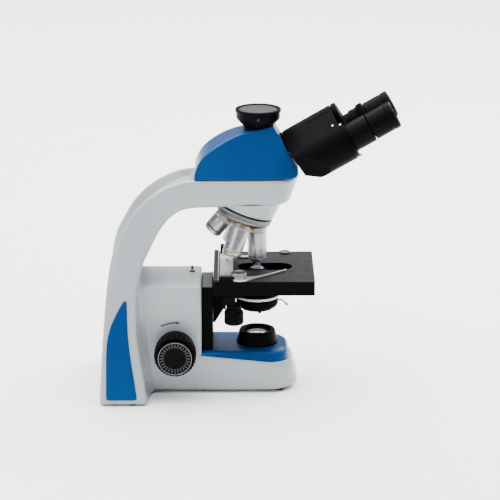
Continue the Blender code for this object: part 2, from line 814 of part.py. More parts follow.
def nosepiece():
    apex = Vector(TURRET_APEX)
    down = Vector((-math.sin(TURRET_TILT), 0, -math.cos(TURRET_TILT)))
    profile = (
        (0, 42.2),
        (34.2, 42.2),
        (35.4, 43.2),
        (35.4, 50.4),
        (34, 51.6),
        (30.8, 55),
        (10, 62),
        (0, 62),
    )
    turret = turned("nosepiece_turret", profile, "satin_chrome", apex, down, 32)
    for quarter in range(4):
        axis = seat_axis(quarter)
        boss = rod("boss", 12.2, apex + 50 * axis, apex + (SEAT - GAP) * axis, "satin_chrome", 12)
        add(turret, boss)
    for quarter in range(4):
        axis = seat_axis(quarter)
        cut(turret, rod("bore", 7.5, apex + 40 * axis, apex + 70 * axis, "satin_chrome", 10))
    pivot(turret, *TURRET_APEX)
    for name, (quarter, profile) in OBJECTIVES.items():
        axis = seat_axis(quarter)
        tip_radius, tip = profile[-1]
        points = [(0, SEAT)] + [(r, SEAT + h) for r, h in profile] + [(0, SEAT + tip)]
        pivot(turned(name, points, "satin_chrome", apex, axis), *TURRET_APEX)


# ---------------------------------------------------------------- head

HEAD_STATIONS = (  # x, bottom, top, half width at the bottom, half width at the top
    (-77.2, HEAD_BOTTOM, 273.4, 33.4, 33),
    (-76.4, HEAD_BOTTOM, 278, 34.2, 33.8),
    (-74.4, HEAD_BOTTOM, 284.4, 34.8, 34.2),
    (-71, HEAD_BOTTOM, 291.6, 35, 34.2),
    (-65.6, HEAD_BOTTOM, 298.6, 35, 34),
    (-57.5, HEAD_BOTTOM, 306, 35, 33.2),
    (-46, HEAD_BOTTOM, 313.8, 35, 31.5),
    (-34, HEAD_BOTTOM, 320.2, 35, 28.5),
    (-20, HEAD_BOTTOM, 325.4, 35, 24.5),
    (0, HEAD_BOTTOM, 329.8, 35, 21),
    (22, HEAD_BOTTOM, 333.4, 34, 18),
    (40, HEAD_BOTTOM, 336, 31, 16),
    (46.4, 271.2, 336.8, 28, 15),
    (49.8, 275.5, 337.4, 25, 14),
)
HEAD_FACE = 183.6  # place of the sloping front face along the tubes


def tilted(s, y, n):
    """A place given along the tubes, across them and above them, as x, y, z."""
    cos, sin = math.cos(TUBE_TILT), math.sin(TUBE_TILT)
    return (s * cos - n * sin, y, s * sin + n * cos)


def tilted_prism(name, outline, start, end, kind):
    """An outline of (y, n) points, extruded along the tubes."""
    rings = [[tilted(s, y, n) for y, n in outline] for s in (start, end)]
    return loft(name, rings, kind)


def tilted_turned(name, profile, y, n, kind, segments=24, open_profile=True):
    foot = tilted(0, y, n)
    axis = (math.cos(TUBE_TILT), 0, math.sin(TUBE_TILT))
    return turned(name, profile, kind, foot, axis, segments, open_profile)


def circle(y, n, radius, steps=24):
    turn = [math.tau * i / steps for i in range(steps)]
    return [(y + radius * math.cos(a), n + radius * math.sin(a)) for a in turn]


def head_housing():
    rings = []
    for x, low, high, foot, top in HEAD_STATIONS:
        edge = min(4.5, (high - low) * 0.3)
        side = [
            (0, low),
            (foot - 2, low),
            (foot, low + 2 * min(1, edge / 4.5)),
            (foot + (top - foot) * 0.5, (low + high) / 2),
            (top, high - edge),
            (top - 0.3 * edge, high - 0.3 * edge),
            (top - edge, high),
            (0, high),
        ]
        ring = side + [(-y, z) for y, z in reversed(side[1:-1])]
        rings.append([(x, y, z) for y, z in ring])
    body = loft("head_housing", rings, "blue_paint")
    cut(
        body,
        tilted_prism("face", circle(0, 250, 120, 4), HEAD_FACE, HEAD_FACE + 80, "blue_paint"),
        rod("light_bore", 12.8, (1, 0, 262), (1, 0, 340), "blue_paint"),
        rod("tube_seat", 20.6, (1, 0, 326.1), (1, 0, 345), "blue_paint", 20),
        tilted_turned(
            "prism_bore",
            ((0, 150), (12, 150), (12, 200), (0, 200)),
            0,
            HINGE_N,
            "blue_paint",
        ),
    )
    ring = tube("head_ring", 26.9, 13, (0, 0, 261.4), (0, 0, 274), "blue_paint", 32)
    add(body, ring)
    return pivot(body, 0, 0, 270)


def camera_port():
    port = (
        (10, 319),
        (12.4, 319),
        (12.4, 326.4),
        (18, 326.4),
        (18, 330.4),
        (10, 330.4),
    )
    body = turned("photo_tube", port, "black_paint", (1, 0, 0), open_profile=False)
    cap = (
        (0, 330.9),
        (17.6, 330.9),
        (26.9, 341),
        (26.9, 347.9),
        (28.1, 349),
        (28.1, 351.4),
        (27, 352.2),
        (24.8, 351),
        (0, 351),
    )
    turned("photo_port_cap", cap, "black_plastic", (1, 0, 0), segments=28)
    pivot(body, 1, 0, 325)
    pivot(bpy.data.objects["photo_port_cap"], 1, 0, 330.9)


LEFT_BARREL = ((0, 250), (14.8, 250), (14.8, 285.6), (0, 285.6))
RIGHT_BARREL = (
    (0, 250),
    (16, 250),
    (16, 266.4),
    (17.4, 267),
    (17.4, 276.6),
    (19.4, 278.4),
    (19.6, 285),
    (18.4, 286.2),
    (0, 286.2),
)


def corner_cut(side):
    """A block whose slanted face takes the lower, rear and outer corner off a housing."""
    low, level, high = (
        Vector(p) for p in ((186.5, 43.7, 241), (211.6, 33.4, 195.4), (209.3, 53.1, 227.5))
    )
    along = (level - low).normalized()
    rise = (high - low - (high - low).dot(along) * along).normalized()
    out = rise.cross(along)
    if out.dot(Vector((-1, 1, -1))) < 0:
        out = -out
    rings = []
    for depth in (0, 60):
        corners = [
            low + along * a + rise * b + out * depth
            for a, b in ((-90, -70), (90, -70), (90, 70), (-90, 70))
        ]
        rings.append([tilted(s, side * y, n) for s, y, n in corners])
    return loft("corner_cut", rings, "black_paint")


def prism_housing(name, side, own_hub, other_hub):
    """One half of the binocular body: a round lobe about its tube, with half of the hinge."""
    lobe_radius, hub_radius = 25, 17.5
    rear, front = 187, 254
    body = tilted_prism(
        name, circle(side * TUBE_Y, TUBE_N, lobe_radius), rear, front, "black_paint"
    )
    reach = math.hypot(TUBE_Y, HINGE_N - TUBE_N)
    along = Vector((side * TUBE_Y, TUBE_N - HINGE_N)) / reach
    across = Vector((side * along.y * -1, side * along.x))
    lean = math.asin((lobe_radius - hub_radius) / reach)
    normal = across * math.cos(lean) - along * math.sin(lean)
    hub = Vector((0, HINGE_N))
    tube_centre = Vector((side * TUBE_Y, TUBE_N))
    web = (hub + 6 * along, hub + normal * hub_radius, tube_centre + normal * lobe_radius, tube_centre)
    add(body, tilted_prism("web", [tuple(p) for p in web], rear + 0.01, front - 0.01, "black_paint"))
    start, end = other_hub
    cut(
        body,
        tilted_turned(
            "hub_room",
            ((0, start), (hub_radius + 0.6, start), (hub_radius + 0.6, end), (0, end)),
            0,
            HINGE_N,
            "black_paint",
            24,
        ),
    )
    start, end = own_hub
    add(
        body,
        tilted_turned(
            "hub",
            ((0, start), (hub_radius, start), (hub_radius, end), (0, end)),
            0,
            HINGE_N,
            "black_paint",
            24,
        ),
    )
    chamfer = ((180, 236), (186, 236), (187.2, 206.8), (206.6, 194.8), (216, 180), (180, 180))
    rings = [[tilted(s, y, n) for s, n in chamfer] for y in (-80, 80)]
    cut(body, loft("chamfer", rings, "black_paint"), corner_cut(side))
    face = tilted_prism(
        "front_rim", circle(side * TUBE_Y, TUBE_N, lobe_radius - 1.6), 253, 258.6, "black_paint"
    )
    barrel = LEFT_BARREL if side < 0 else RIGHT_BARREL
    add(
        body,
        face,
        tilted_turned("barrel", barrel, side * TUBE_Y, TUBE_N, "black_paint"),
    )
    bore = ((0, 215), (11.8, 215), (11.8, 300), (0, 300))
    pin_bore = ((0, 180), (4.3, 180), (4.3, 270), (0, 270))
    cap_room = ((0, 252.9), (18, 252.9), (18, 270), (0, 270))
    cut(
        body,
        tilted_turned("cap_room", cap_room, 0, HINGE_N, "black_paint"),
        tilted_turned("bore", bore, side * TUBE_Y, TUBE_N, "black_paint", 16),
        tilted_turned("pin_bore", pin_bore, 0, HINGE_N, "black_paint", 12),
    )
    return pivot(body, *tilted(220, 0, HINGE_N))


def binocular():
    prism_housing("prism_housing_left", -1, (188, 219.7), (219, 262))
    prism_housing("prism_housing_right", 1, (220.3, 252.6), (180, 220))
    pin = (
        (0, 184.2),
        (17, 184.2),
        (17, 186.7),
        (4, 186.7),
        (4, 254.2),
        (16.6, 254.2),
        (17.4, 255),
        (17.4, 259.5),
        (16.4, 260.6),
        (0, 260.6),
    )
    tilted_turned("binocular_hinge_pin", pin, 0, HINGE_N, "black_paint")
    sleeve = ((15.1, 259), (17.6, 259), (17.6, 284.6), (16.4, 285.6), (15.1, 285.6))
    tilted_turned(
        "diopter_ring", sleeve, -TUBE_Y, TUBE_N, "black_plastic", open_profile=False
    )
    for name, side in (("left", -1), ("right", 1)):
        start = 286.8
        eyepiece = (
            (0, start - 20),
            (11.4, start - 20),
            (11.4, start),
            (16.2, start + 0.2),
            (17, start + 1.4),
            (17, start + 32),
            (16.2, start + 33),
            (13, start + 32.2),
            (11, start + 28.4),
            (0, start + 28.4),
        )
        tilted_turned(f"eyepiece_{name}", eyepiece, side * TUBE_Y, TUBE_N, "black_plastic", 22)
    pivot(bpy.data.objects["diopter_ring"], *tilted(272, -TUBE_Y, TUBE_N))
    for name, side in (("left", -1), ("right", 1)):
        pivot(bpy.data.objects[f"eyepiece_{name}"], *tilted(287, side * TUBE_Y, TUBE_N))


def head_lock_screw():
    profile = (
        (0, 27.8),
        (2.4, 27.8),
        (2.4, 36.2),
        (5.2, 36.2),
        (5.6, 37, 0.4),
        (5.6, 43, 0.4),
        (4.8, 44),
        (0, 44),
    )
    screw = turned("head_lock_screw", profile, "steel", (0, 0, LOCK_Z), (0, 1, 0), 20)
    return pivot(screw, 0, 36, LOCK_Z)


def main():
    clear_scene()
    stand_casting()
    base_bottom_plate()
    base_top_cover()
    side_panel("side_panel_left", -1)
    side_panel("side_panel_right", 1)
    feet()
    illumination()
    nosepiece_housing()
    focus_drive()
    stage()
    condenser()
    nosepiece()
    head_housing()
    camera_port()
    binocular()
    head_lock_screw()


main()
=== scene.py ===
"""Looks of the blue and white trinocular microscope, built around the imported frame.

Places are millimetres from the point where the optical axis meets the table: x towards
the user, y away from the camera and z up. at() turns them into the frame's metres.
"""

import math

import bmesh
import bpy
from mathutils import Matrix, Vector


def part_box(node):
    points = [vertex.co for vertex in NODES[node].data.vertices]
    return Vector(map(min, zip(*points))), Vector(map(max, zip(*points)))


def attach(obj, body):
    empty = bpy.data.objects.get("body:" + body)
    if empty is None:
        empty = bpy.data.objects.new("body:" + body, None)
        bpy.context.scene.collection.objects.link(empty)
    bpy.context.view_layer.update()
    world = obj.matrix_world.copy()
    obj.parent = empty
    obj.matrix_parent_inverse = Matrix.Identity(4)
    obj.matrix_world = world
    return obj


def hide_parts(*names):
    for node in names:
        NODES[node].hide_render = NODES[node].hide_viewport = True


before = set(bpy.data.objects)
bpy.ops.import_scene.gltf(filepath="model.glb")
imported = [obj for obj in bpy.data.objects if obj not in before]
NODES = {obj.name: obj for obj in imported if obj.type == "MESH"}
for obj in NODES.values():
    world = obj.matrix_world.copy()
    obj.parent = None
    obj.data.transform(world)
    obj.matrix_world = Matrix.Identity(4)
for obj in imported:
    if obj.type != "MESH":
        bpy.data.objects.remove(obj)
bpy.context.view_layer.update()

MM = 0.001
LAMP_LOW, LAMP_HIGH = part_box("lamp_housing")
OPTIC_X = (LAMP_LOW.x + LAMP_HIGH.x) / 2
UP = Vector((0, 0, 1))
TUBE_TILT = math.radians(30)
TURRET_TILT = math.radians(20)


def at(x, y, z):
    return Vector((x * MM + OPTIC_X, y * MM, z * MM))


def tilted(s, y, n):
    """A place given along the eyepiece tubes, across them and above them, as x, y, z."""
    cos, sin = math.cos(TUBE_TILT), math.sin(TUBE_TILT)
    return (s * cos - n * sin, y, s * sin + n * cos)


# -------- materials


def shader_of(name):
    made = bpy.data.materials.new(name)
    made.use_nodes = True
    return made, made.node_tree, made.node_tree.nodes["Principled BSDF"]


def noise(tree, scale, detail, stretch=(1, 1, 1)):
    """Noise over the piece's own coordinates. scale is in features per metre."""
    place = tree.nodes.new("ShaderNodeTexCoord")
    mapping = tree.nodes.new("ShaderNodeMapping")
    mapping.inputs["Scale"].default_value = stretch
    texture = tree.nodes.new("ShaderNodeTexNoise")
    texture.inputs["Scale"].default_value = scale
    texture.inputs["Detail"].default_value = detail
    tree.links.new(place.outputs["Object"], mapping.inputs["Vector"])
    tree.links.new(mapping.outputs["Vector"], texture.inputs["Vector"])
    return texture.outputs["Fac"]


def glossed(tree, shader, value, low, high):
    """Roughness that follows the value from low to high."""
    node = tree.nodes.new("ShaderNodeMapRange")
    node.inputs["From Min"].default_value = 0.3
    node.inputs["From Max"].default_value = 0.7
    node.inputs["To Min"].default_value = low
    node.inputs["To Max"].default_value = high
    tree.links.new(value, node.inputs["Value"])
    tree.links.new(node.outputs["Result"], shader.inputs["Roughness"])


def tinted(tree, shader, value, colour, amount):
    """The colour, a little lighter and darker from place to place."""
    mix = tree.nodes.new("ShaderNodeMix")
    mix.data_type = "RGBA"
    mix.inputs["A"].default_value = (*[c * (1 - amount) for c in colour], 1)
    mix.inputs["B"].default_value = (*[min(1, c * (1 + amount)) for c in colour], 1)
    tree.links.new(value, mix.inputs["Factor"])
    tree.links.new(mix.outputs["Result"], shader.inputs["Base Color"])


def bumped(tree, shader, value, depth, strength):
    bump = tree.nodes.new("ShaderNodeBump")
    bump.inputs["Strength"].default_value = strength
    bump.inputs["Distance"].default_value = depth
    tree.links.new(value, bump.inputs["Height"])
    tree.links.new(bump.outputs["Normal"], shader.inputs["Normal"])


def enamel(
    name, colour, roughness, coat, grain=700, depth=0.00001, variation=0.04, gleam=0.5, glint=None
):
    """Sprayed paint: orange peel, faint patches of colour and gloss, and a clear coat. gleam
    is the strength of its reflection, and glint the colour of it."""
    made, tree, shader = shader_of(name)
    tinted(tree, shader, noise(tree, 18, 2), colour, variation)
    glossed(tree, shader, noise(tree, 90, 4), roughness * 0.85, roughness * 1.15)
    bumped(tree, shader, noise(tree, grain, 2), depth, 0.5)
    shader.inputs["Specular IOR Level"].default_value = gleam
    if glint:
        shader.inputs["Specular Tint"].default_value = (*glint, 1)
    shader.inputs["Coat Weight"].default_value = coat
    shader.inputs["Coat Roughness"].default_value = 0.12
    return made


def moulding(name, colour, roughness, grain=1600, depth=0.00002, gleam=0.5):
    """Moulded plastic or rubber with an etched grain."""
    made, tree, shader = shader_of(name)
    tinted(tree, shader, noise(tree, 40, 3), colour, 0.1)
    glossed(tree, shader, noise(tree, 200, 4), roughness * 0.85, roughness * 1.15)
    bumped(tree, shader, noise(tree, grain, 3), depth, 0.6)
    shader.inputs["Specular IOR Level"].default_value = gleam
    return made


def lined_metal(name, colour, roughness, detail, stretch, patches, variation):
    """Metal with fine lines, where the stretch is small along them."""
    made, tree, shader = shader_of(name)
    lines = noise(tree, 1, detail, stretch)
    tinted(tree, shader, noise(tree, patches, 3), colour, variation)
    glossed(tree, shader, lines, roughness * 0.7, roughness * 1.3)
    bumped(tree, shader, lines, 0.00001, 0.5)
    shader.inputs["Metallic"].default_value = 1.0
    return made


def turned_metal(name, colour, roughness):
    """Lathe-turned metal, with fine rings round the piece's own z axis."""
    return lined_metal(name, colour, roughness, 2, (30, 30, 2600), 60, 0.05)


def brushed_metal(name, colour, roughness):
    """Flat ground metal, with fine lines along x."""
    return lined_metal(name, colour, roughness, 3, (30, 2500, 2500), 50, 0.06)


def lens_glass(name, tint, roughness=0.02):
    """Coated optical glass: dark, with a coloured reflection."""
    made, tree, shader = shader_of(name)
    tinted(tree, shader, noise(tree, 30, 2), tint, 0.15)
    glossed(tree, shader, noise(tree, 150, 3), roughness, roughness * 2.5)
    shader.inputs["IOR"].default_value = 1.6
    shader.inputs["Specular IOR Level"].default_value = 0.8
    shader.inputs["Coat Weight"].default_value = 1.0
    shader.inputs["Coat Roughness"].default_value = 0.02
    return made


WHITE = enamel("white_enamel", (0.29, 0.325, 0.34), 0.32, 0.3, variation=0.03)
BLUE = enamel(
    "blue_enamel", (0.0, 0.027, 0.12), 0.34, 0.0, variation=0.05, gleam=0.4, glint=(0.05, 0.5, 1.0)
)
BLACK = enamel("black_enamel", (0.002, 0.002, 0.0025), 0.40, 0.0, 1500, 0.00002, 0.1, 0.015)
STAGE = enamel("stage_coating", (0.013, 0.013, 0.0145), 0.50, 0.0, 2200, 0.00002, 0.08, 0.08)
TEETH = enamel("rack_coating", (0.03, 0.03, 0.032), 0.40, 0.0, 2200, 0.00002, 0.08, 0.3)
PLASTIC = moulding("black_plastic", (0.002, 0.002, 0.0025), 0.38, gleam=0.025)
GRIP = moulding("worn_grip", (0.035, 0.035, 0.037), 0.45, gleam=0.3)
SLIDE_FACE = moulding("slide_face", (0.040, 0.042, 0.045), 0.5, gleam=0.2)
CAP_FACE = moulding("cap_face", (0.028, 0.030, 0.034), 0.5, gleam=0.12)
RUBBER = moulding("rubber", (0.018, 0.018, 0.018), 0.75, 1200, 0.00008)
# The condenser's rim and tab are bare metal. This light grey paint is a painted reflection that keeps
# them bright all round.
RIM_SHEEN_PAINT = enamel("painted_rim_sheen", (0.60, 0.60, 0.62), 0.35, 0.0, 900, 0.00002, 0.1, 0.5)
CHROME = turned_metal("satin_chrome", (0.36, 0.36, 0.375), 0.36)
KNURL = turned_metal("knurled_chrome", (0.15, 0.15, 0.155), 0.36)
RIM_GREY = turned_metal("grey_rim", (0.14, 0.14, 0.15), 0.35)
STEEL = turned_metal("turned_steel", (0.55, 0.55, 0.56), 0.28)
DARK_STEEL = turned_metal("oxidised_steel", (0.12, 0.12, 0.12), 0.35)
BRASS = turned_metal("turned_brass", (0.62, 0.44, 0.18), 0.32)
GILT = turned_metal("gilt_rim", (0.42, 0.27, 0.10), 0.32)
PLATE = brushed_metal("ground_plate", (0.40, 0.42, 0.435), 0.50)
GLASS = lens_glass("coated_glass", (0.10, 0.12, 0.14))
LAMP_GLASS = lens_glass("lamp_glass", (0.17, 0.18, 0.19), 0.05)
PURPLE_GLASS = lens_glass("eyepiece_glass", (0.05, 0.035, 0.09))
BOARD = moulding("circuit_board", (0.02, 0.16, 0.06), 0.45)
BLUE_BAND = enamel("blue_band", (0.03, 0.07, 0.15), 0.35, 0.1)
GOLD_BAND = enamel("gold_band", (0.50, 0.26, 0.05), 0.35, 0.1)
RED_BAND = enamel("red_band", (0.10, 0.012, 0.02), 0.35, 0.1)
WHITE_BAND = enamel("white_band", (0.75, 0.75, 0.75), 0.40, 0.1)
DARK_MARK = enamel("dark_mark", (0.02, 0.02, 0.022), 0.45, 0.0)


# -------- mesh helpers


def finish(name, bm, material, place=None):
    """Makes the object, with outward faces and smooth shading."""
    bmesh.ops.recalc_face_normals(bm, faces=bm.faces)
    mesh = bpy.data.meshes.new(name)
    bm.to_mesh(mesh)
    bm.free()
    obj = smooth_again(bpy.data.objects.new(name, mesh))
    bpy.context.scene.collection.objects.link(obj)
    mesh.materials.append(material)
    if place is not None:
        obj.matrix_world = place
    return obj


def hang(obj, body, *nodes):
    """Lets the object move with a body, in the place of these CAD nodes."""
    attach(obj, body)
    if nodes:
        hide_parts(*nodes)
    return obj


def grid_loft(rings, bm=None):
    """A bmesh skin through rings with the same number of places, with its ends closed. It
    starts a new bmesh or adds to bm."""
    if bm is None:
        bm = bmesh.new()
    rows = [[bm.verts.new(at(*place)) for place in ring] for ring in rings]
    for lower, upper in zip(rows, rows[1:]):
        for i, corner in enumerate(lower):
            j = (i + 1) % len(lower)
            bm.faces.new((corner, lower[j], upper[j], upper[i]))
    bm.faces.new(reversed(rows[0]))
    bm.faces.new(rows[-1])
    return bm


def fillet(points, radius, steps=3):
    """An open outline with its inner corners rounded."""
    out = [points[0]]
    for before, corner, after in zip(points, points[1:], points[2:]):
        a, p, b = Vector(before), Vector(corner), Vector(after)
        back, on = a - p, b - p
        if back.length < 1e-6 or on.length < 1e-6:
            continue
        turn = back.angle(on)
        if turn > math.radians(176):
            out.append(tuple(p))
            continue
        reach = min(radius / math.tan(turn / 2), back.length * 0.45, on.length * 0.45)
        start = p + back.normalized() * reach
        end = p + on.normalized() * reach
        for i in range(steps + 1):
            t = i / steps
            place = start * (1 - t) ** 2 + p * 2 * t * (1 - t) + end * t**2
            out.append(tuple(place))
    out.append(points[-1])
    return out


def ring_outline(points, radius):
    """A closed outline with its corners rounded."""
    looped = [points[-1], *points, points[0]]
    return fillet(looped, radius)[1:-1]


def turned(name, profile, material, foot=(0, 0, 0), axis=UP, segments=96, soft=0.4, ribs=None):
    """A profile of (radius, height) turned about an axis. Both its ends lie on the axis, or
    else it closes on itself. ribs is (count, depth, start, end, least radius)."""
    solid = profile[0][0] == 0
    outline = fillet(profile, soft) if solid else ring_outline(profile, soft)
    count, depth, start, end, least = ribs or (0, 0, 0, 0, 0)
    segments = max(segments, count * 6)
    bm = bmesh.new()
    rows = []
    for radius, height in outline:
        if radius < 1e-6:
            rows.append([bm.verts.new((0, 0, height * MM))])
            continue
        row = []
        for i in range(segments):
            angle = math.tau * i / segments
            r = radius
            if start <= height <= end and radius >= least:
                r -= depth * (0.5 - 0.5 * math.cos(count * angle)) ** 2
            row.append(bm.verts.new((r * math.cos(angle) * MM, r * math.sin(angle) * MM, height * MM)))
        rows.append(row)
    pairs = list(zip(rows, rows[1:]))
    if not solid:
        pairs.append((rows[-1], rows[0]))
    for lower, upper in pairs:
        for i in range(segments):
            j = (i + 1) % segments
            corners = [lower[i % len(lower)], lower[j % len(lower)]]
            corners += [upper[j % len(upper)], upper[i % len(upper)]]
            corners = list(dict.fromkeys(corners))
            if len(corners) > 2:
                bm.faces.new(corners)
    turn = UP.rotation_difference(Vector(axis)).to_matrix().to_4x4()
    return finish(name, bm, material, place=Matrix.Translation(at(*foot)) @ turn)


def slab(name, outline, low, high, material, edge):
    """An (x, y) outline extruded upwards, with rounded rims."""
    bm = grid_loft([[(x, y, z) for x, y in outline] for z in (low, high)])
    return bevelled(finish(name, bm, material), edge)


def rect(x0, y0, x1, y1):
    """The corners of a rectangle, or of the profile of a plain ring."""
    return [(x0, y0), (x1, y0), (x1, y1), (x0, y1)]


def raised(profile, lift):
    """The profile with this added to its heights."""
    return [(radius, lift + height) for radius, height in profile]


def cutter(outline, low, high, material=WHITE):
    """A plain block to cut with or to join."""
    return bake(slab("cutter", outline, low, high, material, 0.01))


def side_slab(name, outline, left, right, material, edge):
    """An (x, z) outline extruded across."""
    bm = grid_loft([[(x, y, z) for x, z in outline] for y in (left, right)])
    return bevelled(finish(name, bm, material), edge)


def bevelled(obj, width, segments=2, angle=32):
    """Rounds the sharp edges and keeps the flat faces flat."""
    bevel = obj.modifiers.new("edges", "BEVEL")
    bevel.width = width * MM
    bevel.segments = segments
    bevel.limit_method = "ANGLE"
    bevel.angle_limit = math.radians(angle)
    bevel.miter_outer = "MITER_ARC"
    bevel.harden_normals = False
    obj.modifiers.new("normals", "WEIGHTED_NORMAL").keep_sharp = True
    return obj


def bake(obj):
    """Makes the modifiers' result the object's own mesh."""
    bpy.context.view_layer.update()
    graph = bpy.context.evaluated_depsgraph_get()
    made = bpy.data.meshes.new_from_object(obj.evaluated_get(graph))
    obj.modifiers.clear()
    obj.data = made
    return obj


def combine(target, tools, operation):
    for tool in tools:
        modifier = target.modifiers.new("combine", "BOOLEAN")
        modifier.operation = operation
        modifier.solver = "EXACT"
        modifier.object = tool
        bake(target)
        bpy.data.objects.remove(tool, do_unlink=True)
    return target


def smooth_again(obj, sharp=32):
    obj.data.shade_smooth()
    obj.data.set_sharp_from_angle(angle=math.radians(sharp))
    return obj


def arc(cx, cy, radius, start, end, steps):
    """Points on a circle, by angles in degrees."""
    turn = [math.radians(start + (end - start) * i / steps) for i in range(steps + 1)]
    return [(cx + radius * math.cos(a), cy + radius * math.sin(a)) for a in turn]


def polar(cx, cy, radius, degrees):
    angle = math.radians(degrees)
    return cx + radius * math.cos(angle), cy + radius * math.sin(angle)


def dome(radius, foot, rise):
    """Points up a quarter of an ellipse, without its top."""
    turn = [math.pi / 2 * i / 10 for i in range(10)]
    return [(radius * math.cos(a), foot + rise * math.sin(a)) for a in turn]


def rounded(x0, x1, half, radius, steps=8):
    """A rectangle with rounded corners, from x0 to x1 and as far on both sides of y = 0."""
    points = []
    for x, y, start in ((x1, half, 0), (x0, half, 90), (x0, -half, 180), (x1, -half, 270)):
        cx = x - radius if x == x1 else x + radius
        cy = y - radius if y == half else y + radius
        points += arc(cx, cy, radius, start, start + 90, steps)
    return points


def between(t, p, q, r, s):
    """The value at t, from 0 to 1, on a smooth curve from q to r. p and s lie before and after."""
    curve = (2 * p - 5 * q + 4 * r - s) * t**2 + (3 * q - p - 3 * r + s) * t**3
    return 0.5 * (2 * q + (r - p) * t + curve)


def spline(rows, steps):
    """Rows of numbers with smooth ones put in between."""
    out = []
    for i in range(len(rows) - 1):
        a, b, c, d = rows[max(i - 1, 0)], rows[i], rows[i + 1], rows[min(i + 2, len(rows) - 1)]
        for k in range(steps):
            out.append([between(k / steps, *four) for four in zip(a, b, c, d)])
    out.append(list(rows[-1]))
    return out


def middle_of(node):
    """The x and y of a CAD node's middle, in millimetres."""
    low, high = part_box(node)
    return ((low.x + high.x) / 2 - OPTIC_X) / MM, (low.y + high.y) / 2 / MM


def dressed(node, material, edge=None):
    """Keeps a CAD part whose shape is right, with this material and softer edges."""
    obj = NODES[node]
    obj.data.materials.clear()
    obj.data.materials.append(material)
    if edge:
        bevelled(obj, edge)
    return obj


# -------- stand

BODY_HALF = 45.0
BASE_REAR = -150.0
BLOCK_FRONT = -69.0
BLOCK_TOP = 138.5
BASE_SEAM, BASE_SLOPE = 41.6, 0.1  # the seam's height at x = 0, and its rise to the rear
GAP = 0.3  # the joint round the blue cover
COVER_TOP = 53.0

ARM_STATIONS = (  # rear x, rear z, front x, front z, half width, channel, rail, flare
    (-193.4, 3, -135.5, 3, 92.5, 24, 20, 8),
    (-192.4, 28, -138.8, 28, 89.5, 23, 20, 8),
    (-190.7, 60, -143.9, 60, 84, 22, 19, 9),
    (-188.2, 95, -148.3, 95, 76.5, 19, 18, 9),
    (-185.2, 130, -148.6, 130, 68, 16, 17, 8),
    (-182.8, 150, -146, 146, 62, 15, 15, 1),
    (-179.3, 172, -140.6, 166, 54, 14, 13, 0),
    (-173.8, 190, -134.5, 179, 47.5, 13, 11, 0),
    (-165.5, 206, -128, 191.5, 43, 12.5, 10, 0),
    (-154, 226, -118, 209.5, 39, 12, 9, 0),
    (-138, 243.8, -106, 223.5, 37, 11.5, 8, 0),
    (-119, 257.5, -92, 232, 36, 11, 8, 0),
    (-100, 266, -78, 234.6, 35.5, 10, 8, 0),
    (-88, 269, -67, 235.2, 35.5, 9.5, 8, 0),
    (-79, 269.7, -59, 235.4, 35.5, 0, 8, 0),
    (-68, 269.8, -50, 235.8, 35.5, 0, 8, 0),
    (-40, 269.8, -33, 236.4, 35.5, 0, 8, 0),
    (0, 269.8, 0, 237.2, 35.5, 0, 8, 0),
    (20, 269.8, 18, 237.6, 35, 0, 8, 0),
    (36, 269.8, 29, 238, 30, 0, 8, 0),
    (45, 269.8, 36, 238.4, 21.5, 0, 8, 0),
    (49.8, 269.8, 40, 239.2, 11, 0, 8, 0),
    (50.6, 269.6, 41, 240, 5, 0, 8, 0),
)


def arm_section(rear_x, rear_z, front_x, front_z, half, channel, rail, flare):
    """One closed section of the arm: a rear channel between two rails, rounded outer edges
    and, low down, a hollow sweep out to the focus block."""
    rear, front = Vector((rear_x, rear_z)), Vector((front_x, front_z))
    depth = (front - rear).length
    along = (front - rear) / depth
    edge = min(5, half * 0.3)
    floor_half = max(half - rail - channel * 0.35, half * 0.4)
    foot = min(BODY_HALF, (half - edge) * 0.8)
    rail_in = max(half - rail, half * 0.55)
    side = [(channel, v * floor_half) for v in (0, 0.4, 0.75)]
    step = [(channel, floor_half * 0.8), (channel, floor_half), (0.1 * edge, rail_in), (0, half - edge)]
    side += fillet(step, 4, 4)[1:]
    side += arc(edge, half - edge, edge, 180, 90, 6)[1:]
    side += arc(depth - edge, half - edge, edge, 90, 0, 6)
    blend = half - edge - foot
    for i in range(1, 9):
        t = i / 8
        side.append((depth + flare * t**2.2, half - edge - blend * (1 - (1 - t) ** 1.5)))
    side.append((depth + flare, 0))
    ring = side + [(u, -v) for u, v in reversed(side[1:-1])]
    return [(rear.x + along.x * u, v, rear.y + along.y * u) for u, v in ring]


def seam_height(x):
    """Height of the line between the base's side and the blue cover."""
    return BASE_SEAM - BASE_SLOPE * x


SIDE_STOPS = (BASE_REAR, -132, -114, -96, -82, -75)


def body_outline(half, front, corner, rear_half=None):
    """Plan of the base or the block, square at the back and rounded at the front. The sides
    of both share the same stops behind the block's front."""
    near = [(x, -(rear_half or half)) for x in SIDE_STOPS]
    start = SIDE_STOPS[-1]
    near += [(start + (front - corner - start) * i / 6, -half) for i in range(1, 6)]
    near += arc(front - corner, -half + corner, corner, -90, 0, 14)
    return near + [(x, -y) for x, y in reversed(near)]


